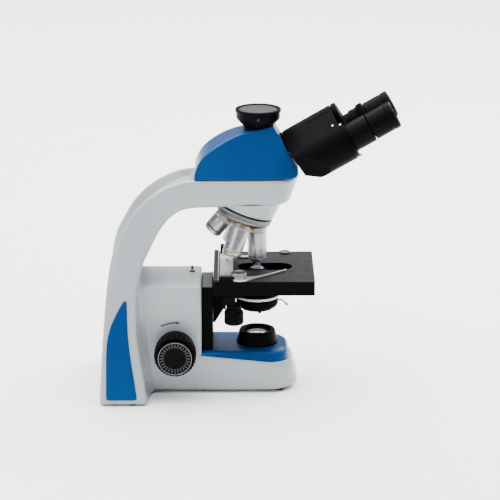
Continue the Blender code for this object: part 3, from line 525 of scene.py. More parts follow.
def stand():
    stations = spline(ARM_STATIONS, 4)
    arm = finish("stand_arm", grid_loft([arm_section(*s) for s in stations]), WHITE)
    socket = turned("socket", rect(0, 261, 27.3, 290), WHITE, soft=0.01)
    inlet = cutter(rect(-220, 8, -150, 36), 22, 42)
    switch = cutter(rect(-220, -32, -150, -12), 24.5, 39.5)
    smooth_again(combine(arm, [socket, inlet, switch], "DIFFERENCE"), 40)
    hang(arm, "stand", "stand_casting")

    # the base's wall, its rim under the cover, and the block behind the cover
    rings = []
    for z, inset, front, corner in (
        (3.1, 4.5, 42.5, 29), (3.5, 3.4, 44, 30), (5, 1.4, 47.2, 32), (7, 0.2, 49.6, 33),
        (10, -0.2, 50.2, 33), (22, -0.1, 48.2, 33), (32, 0, 45.4, 33),
    ):
        outline = body_outline(BODY_HALF - inset, front, corner)
        rings.append([(x, y, z) for x, y in outline])
    for below, inset, front, corner in ((0.9, 0, 42.4, 33), (0.2, 0.3, 42.1, 32.8), (0, 1, 41.4, 32.2)):
        outline = body_outline(BODY_HALF - inset, front, corner, BODY_HALF)
        rings.append([(x, y, seam_height(x) - below) for x, y in outline])
    outline = body_outline(BODY_HALF, BLOCK_FRONT, 3)
    for above in (0.2, 3):
        rings.append([(x, y, seam_height(x) + above) for x, y in outline])
    for down, shrink in ((40, 0), (2.6, 0), (1.5, 0.3), (0.7, 0.9), (0.2, 1.8), (0, 2.8)):
        outline = body_outline(BODY_HALF - shrink, BLOCK_FRONT - shrink, 3)
        rings.append([(x, y, BLOCK_TOP - down) for x, y in outline])
    body = finish("stand_body", grid_loft(rings), WHITE)
    # room for the dovetail guide and the slide's tongue
    window = cutter(rect(-90, -26, -60, 26), 46, 127)
    smooth_again(combine(body, [window], "DIFFERENCE"))
    hang(body, "stand")

    cover = []
    half = BODY_HALF - 0.6
    for rise, inset in ((0, 0), (0.25, 0.9), (0.5, 2.0), (0.7, 3.1), (0.82, 4.1), (0.9, 5.1),
                        (0.955, 6.4), (0.99, 8), (1, 10)):
        ring = []
        for x, y in body_outline(half - inset, 40.4 - inset * 0.85, 32 - inset * 0.25):
            x = max(x, BLOCK_FRONT + GAP)
            low = seam_height(x) + GAP
            ring.append((x, y, low + (COVER_TOP - low) * rise))
        cover.append(ring)
    hang(finish("base_cover", grid_loft(cover), BLUE), "stand", "base_top_cover")


def half_width_at(z):
    """Half the width of the leg at this height."""
    for lower, upper in zip(ARM_STATIONS, ARM_STATIONS[1:]):
        if lower[1] <= z <= upper[1]:
            t = (z - lower[1]) / (upper[1] - lower[1])
            return lower[4] + (upper[4] - lower[4]) * t
    return ARM_STATIONS[-1][4]


INLAY_ROWS = (  # height, rear edge, front edge of the blue inlay on the leg
    (8, -182.5, -151.0),
    (9, -184.4, -148.8),
    (11, -185.3, -147.9),
    (28, -185.2, -150.2),
    (60, -184.8, -155.2),
    (78, -183.6, -157.4),
    (95, -179.8, -158.6),
    (108, -174.2, -159.0),
    (118, -168.9, -159.2),
    (124.5, -165.0, -159.4),
    (127.4, -162.4, -160.4),
)


def inlays():
    for side, name in ((-1, "left"), (1, "right")):
        rings = []
        for z, rear, front in spline(INLAY_ROWS, 4):
            y = half_width_at(z) + 0.25
            depths = ((0, 0), (0, 0.6), (0.35, 1.15), (1.0, 1.4))
            edge = [(rear + inset, out) for inset, out in depths]
            edge += [(rear + (front - rear) * t, 1.4) for t in (0.25, 0.5, 0.75)]
            edge += [(front - inset, out) for inset, out in reversed(depths)]
            rings.append([(x, side * (y + out), z) for x, out in edge])
        piece = finish(f"inlay_{name}", grid_loft(rings), BLUE)
        hang(piece, "stand", f"side_panel_{name}")


def feet():
    for place in ("front_left", "front_right", "rear_left", "rear_right"):
        foot = (*middle_of(f"foot_{place}"), 0)
        profile = ((0, 0), (4.2, 0), (4.6, 0.6), (5.4, 0.9), (5.6, 2.7), (0, 2.7))
        piece = turned(f"rubber_foot_{place}", profile, RUBBER, foot, segments=48)
        hang(piece, "stand", f"foot_{place}")


def lamp():
    housing = (
        (13, 53.3), (25.7, 53.3), (25.6, 55.5), (22.8, 67.6), (21.7, 69.8), (17.9, 69.8),
        (16.6, 68), (15.2, 65), (15.2, 60), (13, 60),
    )
    hang(turned("lamp_ring", housing, PLASTIC, soft=0.5), "stand", "lamp_housing")
    lens = [(0, 60.3), (14.8, 60.3), *dome(14.8, 63.6, 4.6), (0, 68.2)]
    hang(turned("lamp_lens", lens, LAMP_GLASS, soft=0.1), "stand", "field_lens")
    dressed("led_module", BOARD)


def rear_fittings():
    dressed("base_bottom_plate", BLACK, 0.3)
    for node, edge in (("power_inlet", 0.4), ("switch_frame", 0.4), ("power_switch", 0.3)):
        dressed(node, PLASTIC, edge)
    x, y, z = -15, BODY_HALF + 1, 24
    knob = ((0, -14), (2.9, -14), (2.9, 0.4), (9, 0.4), (9.5, 1.2), (9.5, 9), (8.4, 10), (0, 10))
    grips = (36, 0.5, 1.5, 8.8, 8.5)
    piece = turned("brightness_knob", knob, PLASTIC, (x, y, z), (0, 1, 0), ribs=grips)
    hang(piece, "dimmer_knob", "dimmer_knob")
    outline = rect(x - 0.5, z + 3.5, x + 0.5, z + 8)
    mark = side_slab("brightness_mark", outline, y + 10.05, y + 10.35, WHITE_BAND, 0.1)
    hang(mark, "dimmer_knob")


# -------- nosepiece

TURRET_AXIS = Vector((-math.sin(TURRET_TILT), 0, -math.cos(TURRET_TILT)))


def seat_axis(quarter):
    """The axis of one of the turret's four seats, from the apex down."""
    out = Vector((math.cos(TURRET_TILT), 0, -math.sin(TURRET_TILT)))
    turn = quarter * math.pi / 2
    around = math.cos(turn) * out + math.sin(turn) * Vector((0, 1, 0))
    return math.cos(TURRET_TILT) * TURRET_AXIS + math.sin(TURRET_TILT) * around


APEX = (0, 0, 264)  # where the turret's axis meets the optical axis
SEAT = 64.3  # from the apex to the seats
OBJECTIVE_TOP = -3.0  # where an objective begins, from its seat
NOSE_40X = ((10.4, 38.6), (8.6, 39.6), (8.0, 40.4), (6.4, 41.6), (5.8, 43.8), (4.6, 45.8), (3.9, 46.3))
NOSE_100X = ((9.6, 37.5), (7.4, 38.9), (6.8, 40), (5.2, 43.8), (3.4, 46.3))
OBJECTIVES = {  # quarter turn, barrel end, barrel radius, nose profile after it, band colour
    "objective_40x": (0, 36.4, 11.6, NOSE_40X, BLUE_BAND),
    "objective_100x": (1, 35.2, 11.6, NOSE_100X, WHITE_BAND),
    "objective_4x": (2, 19.8, 11.6, ((10.9, 22.4), (9.4, 23.6)), RED_BAND),
    "objective_10x": (3, 32.8, 11.9, ((11.2, 36), (9.8, 37.6)), GOLD_BAND),
}


def objective(name, quarter, end, radius, nose, band):
    axis = seat_axis(quarter)
    band_at = end - 2.6
    groove = radius - 0.35
    shoulder = (
        (0, 0), (10.6, 0), (10.6, 1.0), (radius, 1.5),
        (radius, 5.5), (groove, 5.8), (groove, 6.3), (radius, 6.6),
    )
    waist = ((radius, -0.2), (radius - 0.4, 0), (radius - 0.4, 1.5), (radius, 1.7))
    profile = [*raised(shoulder, OBJECTIVE_TOP), *raised(waist, band_at), (radius, end), *nose]
    tip_radius, tip = nose[-1]
    lens_radius = tip_radius * 0.72
    profile += [(lens_radius, tip), (lens_radius - 0.3, tip - 0.8), (0, tip - 0.8)]
    foot = Vector(APEX) + SEAT * axis
    grips = (90, 0.35, OBJECTIVE_TOP + 1.5, OBJECTIVE_TOP + 5.6, radius - 0.1)
    body = turned(name + "_barrel", profile, CHROME, foot, axis, 128, 0.3, ribs=grips)
    hang(body, "nosepiece", name)
    ring = rect(radius - 1, band_at + 0.1, radius - 0.1, band_at + 1.4)
    hang(turned(name + "_band", ring, band, foot, axis, 96, 0.1), "nosepiece")
    low, high = OBJECTIVE_TOP - 0.4, OBJECTIVE_TOP + 1.3
    inner, outer = radius - 1.4, radius + 0.1
    collar = ((inner, low), (radius - 0.5, low), (outer, low + 0.7), (outer, high), (inner, high))
    hang(turned(name + "_gilt", collar, GILT, foot, axis, 96, 0.1), "nosepiece")
    rim = lens_radius - 0.35
    lens = raised(((0, -1.2), (rim, -1.2), (rim, -0.75), (0, -0.35)), tip)
    hang(turned(name + "_lens", lens, GLASS, foot, axis, 48, 0.1), "nosepiece")


def nosepiece():
    profile = ((0, 12), (38.8, 12), (37.6, 26), (36.1, 39.8), (35.2, 40.8), (0, 40.8))
    cone = turned("nose_cone", profile, WHITE, APEX, TURRET_AXIS, 160, 0.5)
    above = cutter(rect(-90, -60, 90, 60), 238.4, 300)
    smooth_again(combine(cone, [above], "DIFFERENCE"))
    hang(cone, "stand", "nosepiece_housing")

    # A black disc inside the cone, seen through the gap between the cone and the turret ring: painted
    # shade that darkens the gap.
    hang(turned("nose_gap_shade", rect(0, 38, 34, 42), BLACK, APEX, TURRET_AXIS, 96), "stand")

    profile = (
        (0, 42.3), (33.4, 42.3), (35.4, 43.2), (35.4, 47.2), (34.5, 47.5), (34.5, 48.1),
        (35, 48.4), (34.8, 50.6), (33.6, 51.4), (30.8, 54), (10, 60), (0, 60),
    )
    grips = (120, 0.5, 43.3, 47.1, 35.3)
    turret = turned("turret_ring", profile, KNURL, APEX, TURRET_AXIS, 144, 0.2, grips)
    hang(turret, "nosepiece", "nosepiece_turret")
    for quarter in range(4):
        axis = seat_axis(quarter)
        end = SEAT + OBJECTIVE_TOP - 0.5
        boss = ((0, 49), (12.6, 49), (12.6, end - 0.9), (12.0, end), (0, end))
        hang(turned(f"turret_boss_{quarter}", boss, CHROME, APEX, axis, 72), "nosepiece")
    for name, facts in OBJECTIVES.items():
        objective(name, *facts)


# -------- focus drive

SHAFT = (-101, 0, 58.8)  # the middle of both focus shafts


def focus_drive():
    dressed("dovetail_guide", BLACK, 0.4)
    dressed("focus_slide", BLACK, 0.8)
    for node in ("coarse_shaft", "fine_shaft"):
        dressed(node, STEEL)
    for node in ("focus_rack", "focus_pinion", "shaft_bush_left", "shaft_bush_right"):
        dressed(node, BRASS)
    collar = ((7, 48.3), (23.4, 48.3), (24, 49), (24, 56.4), (23.4, 57), (7, 57))
    piece = turned("tension_ring", collar, PLASTIC, SHAFT, (0, -1, 0), 128)
    hang(piece, "tension_collar", "tension_collar")
    for name, side, inner, outer in (("left", -1, 57.6, 79), ("right", 1, 50.5, 71.5)):
        coarse = (
            (4.8, inner), (24.6, inner), (25.8, inner + 1.4), (25.8, outer - 1.6),
            (24.4, outer), (22, outer), (21.8, outer - 4), (4.8, outer - 4),
        )
        grips = (38, 1.7, inner + 1.0, outer - 0.9, 24.6)
        knob = turned(f"coarse_grip_{name}", coarse, PLASTIC, SHAFT, (0, side, 0), soft=0.5, ribs=grips)
        hang(knob, "coarse_drive", f"coarse_knob_{name}")
        start = outer - 1.5
        fine = (
            (0, 3.5), (2.8, 3.5), (2.8, 0), (20, 0), (20.6, 2), (21.0, 4.4), (21.0, 7.6),
            (20.2, 8.4), (19.4, 8.4), (18.2, 6.9), (13.5, 6.2), (12.8, 5.6), (0, 5.6),
        )
        fine = raised(fine, start)
        knob = turned(f"fine_grip_{name}", fine, PLASTIC, SHAFT, (0, side, 0), soft=0.3)
        hang(knob, "fine_drive", f"fine_knob_{name}")
        rim = rect(19.9, start + 7.6, 20.7, start + 8.6)
        hang(turned(f"fine_rim_{name}", rim, RIM_GREY, SHAFT, (0, side, 0), soft=0.2), "fine_drive")
        fine_grips(name, side, start)
    screw = (
        (0, 131), (2, 131), (2, 138.8), (3.6, 138.8), (3.6, 140.6),
        (1.8, 141.4), (1.8, 145.2), (1.2, 145.8), (0, 145.8),
    )
    foot = (*middle_of("stage_stop_screw"), 0)
    piece = turned("stop_screw_head", screw, DARK_STEEL, foot, segments=48, soft=0.2)
    hang(piece, "stop_screw", "stage_stop_screw")


def fine_grips(name, side, start):
    """Radial finger ribs in the dished face of a fine knob."""
    count = 28
    bm = bmesh.new()
    for i in range(count):
        turn = Matrix.Rotation(math.tau * i / count, 4, "Z")
        corners = []
        for r, h in ((13.4, 5.7), (18.3, 6.4), (18.6, 8.0), (13.6, 7.4)):
            for w in (-0.75, 0.75):
                corners.append(bm.verts.new(turn @ Vector((r * MM, w * MM, (start + h) * MM))))
        a, b, c, d, e, f, g, h = corners
        sides = ((a, b, d, c), (c, d, f, e), (e, f, h, g), (g, h, b, a))
        for face in (*sides, (a, c, e, g), (b, h, f, d)):
            bm.faces.new(face)
    turn = UP.rotation_difference(Vector((0, side, 0))).to_matrix().to_4x4()
    place = Matrix.Translation(at(*SHAFT)) @ turn
    ribs = finish(f"fine_ribs_{name}", bm, GRIP, place=place)
    bevelled(ribs, 0.25)
    hang(ribs, "fine_drive")


# -------- stage

STAGE_TOP, STAGE_BOTTOM = 150.7, 133.2
XY_KNOB = (-29, -50)  # the axis of both stage knobs
FINGER_PIVOT = (-23, -58)


def stage():
    dressed("stage_bracket", BLACK, 0.6)
    dressed("stage_lower_plate", BLACK, 0.5)
    top = slab("stage_plate", rounded(-54, 70, 65.5, 2.2), STAGE_BOTTOM, STAGE_TOP, STAGE, 0.01)
    bake(top)
    under = cutter(rect(-60, -63, 67.5, 63), 130, 144.2, STAGE)
    slot = cutter(rounded(-24.6, 43.5, 15.6, 15.5, 16), 140, 155, STAGE)
    kx = XY_KNOB[0]
    hanger = cutter(rect(kx - 11, -64, kx + 11, -41), 129.5, 145, STAGE)
    combine(top, [under, slot], "DIFFERENCE")
    combine(top, [hanger], "UNION")
    smooth_again(top)
    top.data.materials.clear()
    for material in (BLACK, STAGE):
        top.data.materials.append(material)
    # Faces that look up at the very top take the lighter stage coating and all other faces the black: a
    # painted lighter top and painted shade on the sides.
    for polygon in top.data.polygons:
        uppermost = polygon.center.z > (STAGE_TOP - 0.1) * MM
        polygon.material_index = int(polygon.normal.z > 0.9 and uppermost)
    bevelled(top, 0.7, 3)
    hang(top, "stage_top", "stage_top_plate")
    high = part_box("focus_slide")[1]
    rear, front = -68, (high.x - OPTIC_X) / MM - 0.8
    deck = high.z / MM
    outline = rect(rear, -32, front, 32)
    plate = slab("slide_top", outline, deck - 0.2, deck + 0.3, SLIDE_FACE, 0.15)
    hang(plate, "focus_carriage")
    guide_rail()
    holder()
    finger()
    stage_knobs()


def guide_rail():
    """The rail behind the slide holder, with rack teeth across its top."""
    low, high = STAGE_TOP + 0.3, STAGE_TOP + 2.4
    rail = slab("guide_bar", rect(-53.8, -65, -47.2, 65), low, high, STAGE, 0.2)
    hang(rail, "stage_top", "stage_guide_rail")
    pitch, teeth = 1.6, 80
    outline = [(-64.5, high - 0.2)]
    for i in range(teeth):
        y = -64 + i * pitch
        outline += raised(((y, 0.05), (y + 0.35, 0.6), (y + 0.85, 0.6), (y + 1.2, 0.05)), high)
    outline += [(64.6, high - 0.2)]
    bm = grid_loft([[(x, y, z) for y, z in outline] for x in (-53.2, -49.4)])
    hang(finish("guide_rack", bm, TEETH), "stage_top")
    strip = rect(-48.6, -64.8, -47.5, 64.8)
    hang(slab("guide_edge", strip, high - 0.2, high + 0.5, PLATE, 0.15), "stage_top")
    dome = ((0, -0.4), (7.4, -0.4), (7.4, 1.2), (6.6, 2.4), (4, 3.2), (0, 3.3))
    stud = turned("stage_stud", dome, TEETH, (35.5, 58, STAGE_TOP), segments=64, soft=0.8)
    hang(stud, "stage_top")


def holder():
    low = STAGE_TOP + 0.5
    outline = [
        (-46.4, -57), (-32.8, -57), (-32.8, -51), (-30, -47), (-30, 34),
        (6, 34), (6, 40), (-30, 40), (-30, 62), (-46.4, 62),
    ]
    bar = slab("holder_plate", ring_outline(outline, 1.2), low, low + 2.0, PLATE, 0.25)
    hang(bar, "slide_holder", "slide_holder")
    outline = ring_outline(rect(-45, -50, -31, -38), 1)
    hang(slab("holder_block", outline, low + 1.9, low + 5, PLATE, 0.4), "slide_holder")
    outline = ring_outline(rect(-46.2, -68, -32.4, -57.2), 1)
    hang(slab("holder_carriage", outline, low, low + 4.4, BLACK, 0.4), "slide_holder")
    outline = ring_outline(rect(-46, 50, -41, 61), 0.8)
    hang(slab("holder_post", outline, low + 1.9, 162.5, STAGE, 0.4), "slide_holder")
    screw = ((0, 0), (2.6, 0), (2.6, 1.2), (2.1, 1.7), (1.2, 1.7), (1.2, 0.9), (0, 0.9))
    for i, (y, rise, material) in enumerate(((-44, 5, BRASS), (20, 2, STEEL), (56, 2, STEEL))):
        foot = (-38, y, low + rise - 0.05)
        piece = turned(f"holder_screw_{i}", screw, material, foot, segments=32, soft=0.2)
        hang(piece, "slide_holder")
    bm = bmesh.new()
    z = low + 2.04
    for i in range(31):
        y = -34 + i * 2
        reach = 4.5 if i % 5 == 0 else 2.6
        places = rect(-46.2, y - 0.15, -46.2 + reach, y + 0.15)
        grid_loft([[(px, py, h) for px, py in places] for h in (z - 0.06, z)], bm)
    hang(finish("holder_scale", bm, DARK_MARK), "slide_holder")


def finger():
    px, py = FINGER_PIVOT
    low = STAGE_TOP + 2.8
    root, tip_x, tip_y = px + 8, 35.7, -21
    far, near = [], []
    for i in range(25):
        t = i / 24
        x = root + (tip_x - root) * t
        far.append((x, py + 6.5 + (tip_y + 1.6 - py - 6.5) * max(0, (t - 0.2) / 0.8) ** 1.25))
        near.append((x, -65 + (tip_y - 1.6 + 65) * t**1.1))
    blade = far + near[::-1] + arc(px, py, 8.8, -75, -285, 24)
    hub = (
        (0, 0), (9.0, 0), (9.0, 3.2), (9.6, 3.8), (9.6, 7.0),
        (9.0, 7.6), (7.2, 7.6), (6.6, 7.0), (0, 7.0),
    )
    grips = (48, 0.35, low + 3.9, low + 6.9, 9.5)
    piece = turned("finger_hub", raised(hub, low), RIM_GREY, (px, py, 0), ribs=grips)
    hang(piece, "holder_finger", "holder_finger")
    outline = ring_outline(blade, 0.8)
    piece = slab("finger_blade", outline, STAGE_TOP + 0.5, low + 0.1, PLATE, 0.3)
    hang(piece, "holder_finger")


def stage_knobs():
    kx, ky = XY_KNOB
    upper = ((3.3, 113.2), (8, 113.2), (9, 114), (9.3, 115), (9.3, 117), (8.6, 118.2), (3.3, 118.4))
    knob = turned("upper_knob", upper, PLASTIC, (kx, ky, 0), ribs=(36, 0.5, 114.6, 117.4, 8.9))
    hang(knob, "upper_stage_knob", "stage_y_knob")
    outline = [
        (-42.2, 129), (-42.2, 114.4), (-41, 113.2), (-38.5, 113.2), (-38.5, 118.9),
        (-27.4, 118.9), (-27.4, 129),
    ]
    hang(side_slab("knob_bearing", outline, ky - 8, ky + 8, PLASTIC, 0.6), "stage_top")
    lower = (
        (0, 92.2), (9.2, 92.2), (11, 93), (11.9, 95), (11.9, 107.6), (11.1, 109.4),
        (9.3, 110.8), (9.3, 112.6), (3, 112.6), (3, 118.2), (0, 118.2),
    )
    knob = turned("lower_knob", lower, PLASTIC, (kx, ky, 0), ribs=(32, 0.8, 94.8, 107.8, 11.4))
    hang(knob, "lower_stage_knob", "stage_x_knob")


# -------- condenser


def condenser():
    dressed("condenser_carrier", BLACK, 0.4)
    profile = (
        (13, 99.6), (20.5, 99.6), (24.2, 100.9), (26.3, 104.4), (25.6, 105), (23.6, 105),
        (23.6, 109.2), (26.3, 109.4), (26.3, 110.2), (24, 110.4), (24, 113.2), (20.4, 113.2),
        (20.4, 136), (14.8, 143.8), (9.0, 149.9), (8.2, 149.9), (8.2, 144), (13, 136),
    )
    body = turned("condenser_barrel", profile, BLACK, segments=128, soft=0.3)
    hang(body, "condenser", "condenser_body")
    lens = ((0, 145), (8.1, 145), (8.1, 149.5), (7, 150.0), (0, 150.3))
    piece = turned("condenser_top_lens", lens, GLASS, segments=64, soft=0.3)
    hang(piece, "condenser", "condenser_lens")
    # The rim and its tab take the light grey rim paint, a painted reflection standing in for the sheen
    # of bare metal.
    rim = (
        (24.1, 112.9), (27.3, 112.9), (27.7, 113.3), (27.7, 115.8), (27.35, 115.8),
        (27.35, 113.3), (24.1, 113.3),
    )
    hang(turned("condenser_rim", rim, RIM_SHEEN_PAINT, segments=128, soft=0.1), "condenser")
    outline = rect(-27.7, 104, -26.3, 113.2)
    hang(side_slab("condenser_tab", outline, -6, -3, RIM_SHEEN_PAINT, 0.3), "condenser")
    ring = rect(24.0, 105.3, 25.9, 108.9)
    ring = turned("iris_ring", ring, BLACK, segments=128, ribs=(90, 0.3, 105.7, 108.5, 25.5))
    hang(ring, "iris_lever", "iris_lever")
    stalk = ((0, 0), (0.9, 0), (0.9, 6), (0.5, 6.4), (0, 6.4))
    hang(turned("iris_stalk", stalk, DARK_STEEL, (25, 0, 107.4), (1, 0, 0), segments=32), "iris_lever")
    tip = ((0, 0), (0.9, 0), (0.9, 6.4), (1.3, 7), (1.3, 10.2), (0.9, 10.6), (0, 10.6))
    hang(turned("iris_tip", tip, DARK_STEEL, (30.7, 0, 107.7), (1, 0, -1), segments=32), "iris_lever")
    ring = rect(16.6, 97.4, 19.5, 99.2)
    hang(turned("filter_rim", ring, BLACK, segments=96, soft=0.3), "filter_holder", "filter_holder")
    lug = rect(1, 97.4, 5, 99.2)
    hang(side_slab("filter_lug", lug, -24.5, -18.4, BLACK, 0.4), "filter_holder")
    pin = rect(0, 96.8, 1.2, 97.3)
    hang(turned("filter_pin", pin, BLACK, (3, -22, 0), segments=32, soft=0.3), "filter_holder")
    filter_glass = rect(0, 97.9, 16.8, 98.8)
    hang(turned("filter_glass", filter_glass, PURPLE_GLASS, segments=64, soft=0.1), "filter_holder")
    knob = ((0, 0), (2.6, 0), (2.6, 15.4), (9.2, 15.4), (10, 16.4), (10, 25), (9, 26), (0, 26))
    grips = (32, 0.6, 16.2, 25.2, 9.4)
    piece = turned("condenser_height_knob", knob, PLASTIC, (-44, 10, 108), (0, 1, 0), ribs=grips)
    hang(piece, "condenser_knob", "condenser_knob")


# -------- head

HEAD_FACE = 183.6  # where the head ends, along the tubes
HINGE_N = 247  # height of the hinge, square to the tubes
TUBE_N, TUBE_Y = 222, 29  # height of the tubes, and half the distance between them
TUBE_AXIS = Vector((math.cos(TUBE_TILT), 0, math.sin(TUBE_TILT)))
HEAD_STATIONS = (  # x, bottom, top, half width at the bottom, half width at the top
    (-77.2, 270.6, 273.4, 33.4, 33),
    (-76.4, 270.6, 278, 34.2, 33.8),
    (-74.4, 270.6, 284.4, 34.8, 34.2),
    (-71, 270.6, 291.6, 35, 34.2),
    (-65.6, 270.6, 298.6, 35, 34),
    (-57.5, 270.6, 306, 35, 33.2),
    (-46, 270.6, 313.8, 35, 31.5),
    (-34, 270.6, 320.2, 35, 28.5),
    (-20, 270.6, 325.4, 35, 24.5),
    (0, 270.6, 329.8, 35, 21),
    (22, 270.6, 333.4, 34, 18),
    (40, 270.6, 336, 31, 16),
    (46.4, 271.2, 336.8, 28, 15),
    (49.8, 275.5, 337.4, 25, 14),
)


def head_section(x, low, high, foot, top):
    edge = min(3.2, (high - low) * 0.3)
    toe = 2 * min(1, edge / 3.2)
    side = [(0, low), (foot * 0.6, low)]
    side += arc(foot - toe, low + toe, toe, -90, 0, 4)
    for t in (0.15, 0.35, 0.55, 0.75, 0.92):
        lean = foot + (top - foot) * t
        side.append((lean, low + toe + (high - edge - low - toe) * t))
    side += arc(top - edge, high - edge, edge, 0, 90, 6)
    side += [(top * 0.5, high), (0, high)]
    ring = side + [(-y, z) for y, z in reversed(side[1:-1])]
    return [(x, y, z) for y, z in ring]


def tilted_turned(name, profile, y, n, material, **options):
    return turned(name, profile, material, tilted(0, y, n), TUBE_AXIS, **options)


def tilted_loft(name, outline, start, end, material):
    rings = [[tilted(s, y, n) for y, n in outline] for s in (start, end)]
    return finish(name, grid_loft(rings), material)


def head():
    rings = [head_section(*station) for station in spline(HEAD_STATIONS, 4)]
    body = finish("head_shell", grid_loft(rings), BLUE)
    face = tilted_loft("face", rect(-90, 150, 90, 380), HEAD_FACE, HEAD_FACE + 90, BLUE)
    seat = turned("seat", rect(0, 326.1, 18.3, 350), BLUE, (1, 0, 0), soft=0.01)
    combine(body, [face, seat], "DIFFERENCE")
    smooth_again(body)
    bevelled(body, 0.9, 3, 38)
    hang(body, "head", "head_housing")
    hang(turned("head_dovetail", rect(13, 261.4, 26.9, 271), STEEL), "head")

    tube = (
        (10, 320), (12.4, 320), (12.4, 326.4), (17.4, 326.4),
        (18.0, 327.2), (18.0, 330.4), (10, 330.4),
    )
    hang(turned("camera_tube", tube, BLACK, (1, 0, 0)), "head", "photo_tube")
    cap = (
        (0, 330.9), (17.4, 330.9), (18.4, 331.6), (25.2, 338.6), (26.9, 341.4), (26.9, 347.9),
        (28.1, 349), (28.1, 351.4), (27.4, 352.2), (24.6, 352.2), (23.6, 351.4), (23.4, 350.6),
        (0, 350.6),
    )
    piece = turned("camera_cap", cap, PLASTIC, (1, 0, 0), segments=144, soft=0.5)
    hang(piece, "photo_port_cap", "photo_port_cap")
    disc = ((0, 350.3), (23.1, 350.3), (23.1, 351.0), (0, 351.2))
    hang(turned("camera_cap_disc", disc, CAP_FACE, (1, 0, 0), segments=96, soft=0.2), "photo_port_cap")
    grub = ((0, 0), (1.6, 0), (1.6, 1.5), (0.9, 1.5), (0.7, 0.9), (0, 0.9))
    foot = (1, -25.8, 343.4)
    piece = turned("camera_cap_screw", grub, TEETH, foot, (0, -1, 0), segments=32, soft=0.1)
    hang(piece, "photo_port_cap")

    screw = ((0, 27.8), (2.4, 27.8), (2.4, 36.2), (5.2, 36.2), (5.6, 37), (5.6, 43), (4.8, 44), (0, 44))
    grips = (40, 0.35, 36.9, 43.1, 5.3)
    piece = turned("lock_screw_head", screw, STEEL, (0, 0, 264), (0, 1, 0), ribs=grips)
    hang(piece, "lock_screw", "head_lock_screw")


def hinge_rod(radius, start, end):
    """A plain rod on the hinge's axis, to cut with or to join."""
    profile = rect(0, start, radius, end)
    return tilted_turned("hinge_rod", profile, 0, HINGE_N, BLACK, soft=0.01, segments=72)


CAP_ROOM = (18, 252.9, 270)  # radius, start and end of the room for the hinge's cap


def corner_cut(side):
    """A block whose slanted face takes the lower, rear and outer corner off a prism half."""
    low, across = Vector((186.5, 43.7, 241)), Vector((211.6, 33.4, 195.4))
    up = Vector((209.3, 53.1, 227.5))
    along = (across - low).normalized()
    rise = (up - low - (up - low).dot(along) * along).normalized()
    out = rise.cross(along)
    if out.dot(Vector((-1, 1, -1))) < 0:
        out = -out
    rings = []
    for depth in (0, 60):
        corners = [low + along * a + rise * b + out * depth for a, b in rect(-90, -70, 90, 70)]
        rings.append([tilted(s, side * y, n) for s, y, n in corners])
    return finish("corner_cut", grid_loft(rings), BLACK)


def prism_half(name, side, own_hub, other_hub):
    """One half of the binocular body: a lobe round its tube, a web and half of the hinge."""
    lobe, hub = 25, 17.5
    rear, front = 187, 254
    reach = math.hypot(TUBE_Y, HINGE_N - TUBE_N)
    along = Vector((side * TUBE_Y, TUBE_N - HINGE_N)) / reach
    across = Vector((side * along.y * -1, side * along.x))
    lean = math.asin((lobe - hub) / reach)
    normal = across * math.cos(lean) - along * math.sin(lean)
    centre, pin = Vector((side * TUBE_Y, TUBE_N)), Vector((0, HINGE_N))
    circle = arc(*centre, lobe, 0, 360, 72)[:-1]
    body = tilted_loft(name + "_shell", circle, rear, front, BLACK)
    web = [pin + 6 * along, pin + normal * hub, centre + normal * lobe, centre]
    web = tilted_loft("web", [tuple(p) for p in web], rear + 0.02, front - 0.02, BLACK)
    combine(body, [web], "UNION")
    combine(body, [hinge_rod(hub + 0.6, *other_hub)], "DIFFERENCE")
    combine(body, [hinge_rod(hub, *own_hub)], "UNION")
    chamfer = [(180, 236), (186, 236), (187.2, 206.8), (206.6, 194.8), (216, 180), (180, 180)]
    rings = [[tilted(s, y, n) for s, n in chamfer] for y in (-80, 80)]
    combine(body, [finish("chamfer", grid_loft(rings), BLACK), corner_cut(side)], "DIFFERENCE")
    bore = rect(0, 215, 11.8, 300)
    bore = tilted_turned("bore", bore, side * TUBE_Y, TUBE_N, BLACK, soft=0.01, segments=48)
    combine(body, [hinge_rod(*CAP_ROOM), bore], "DIFFERENCE")
    smooth_again(body)
    bevelled(body, 0.5, 2, 38)
    return body


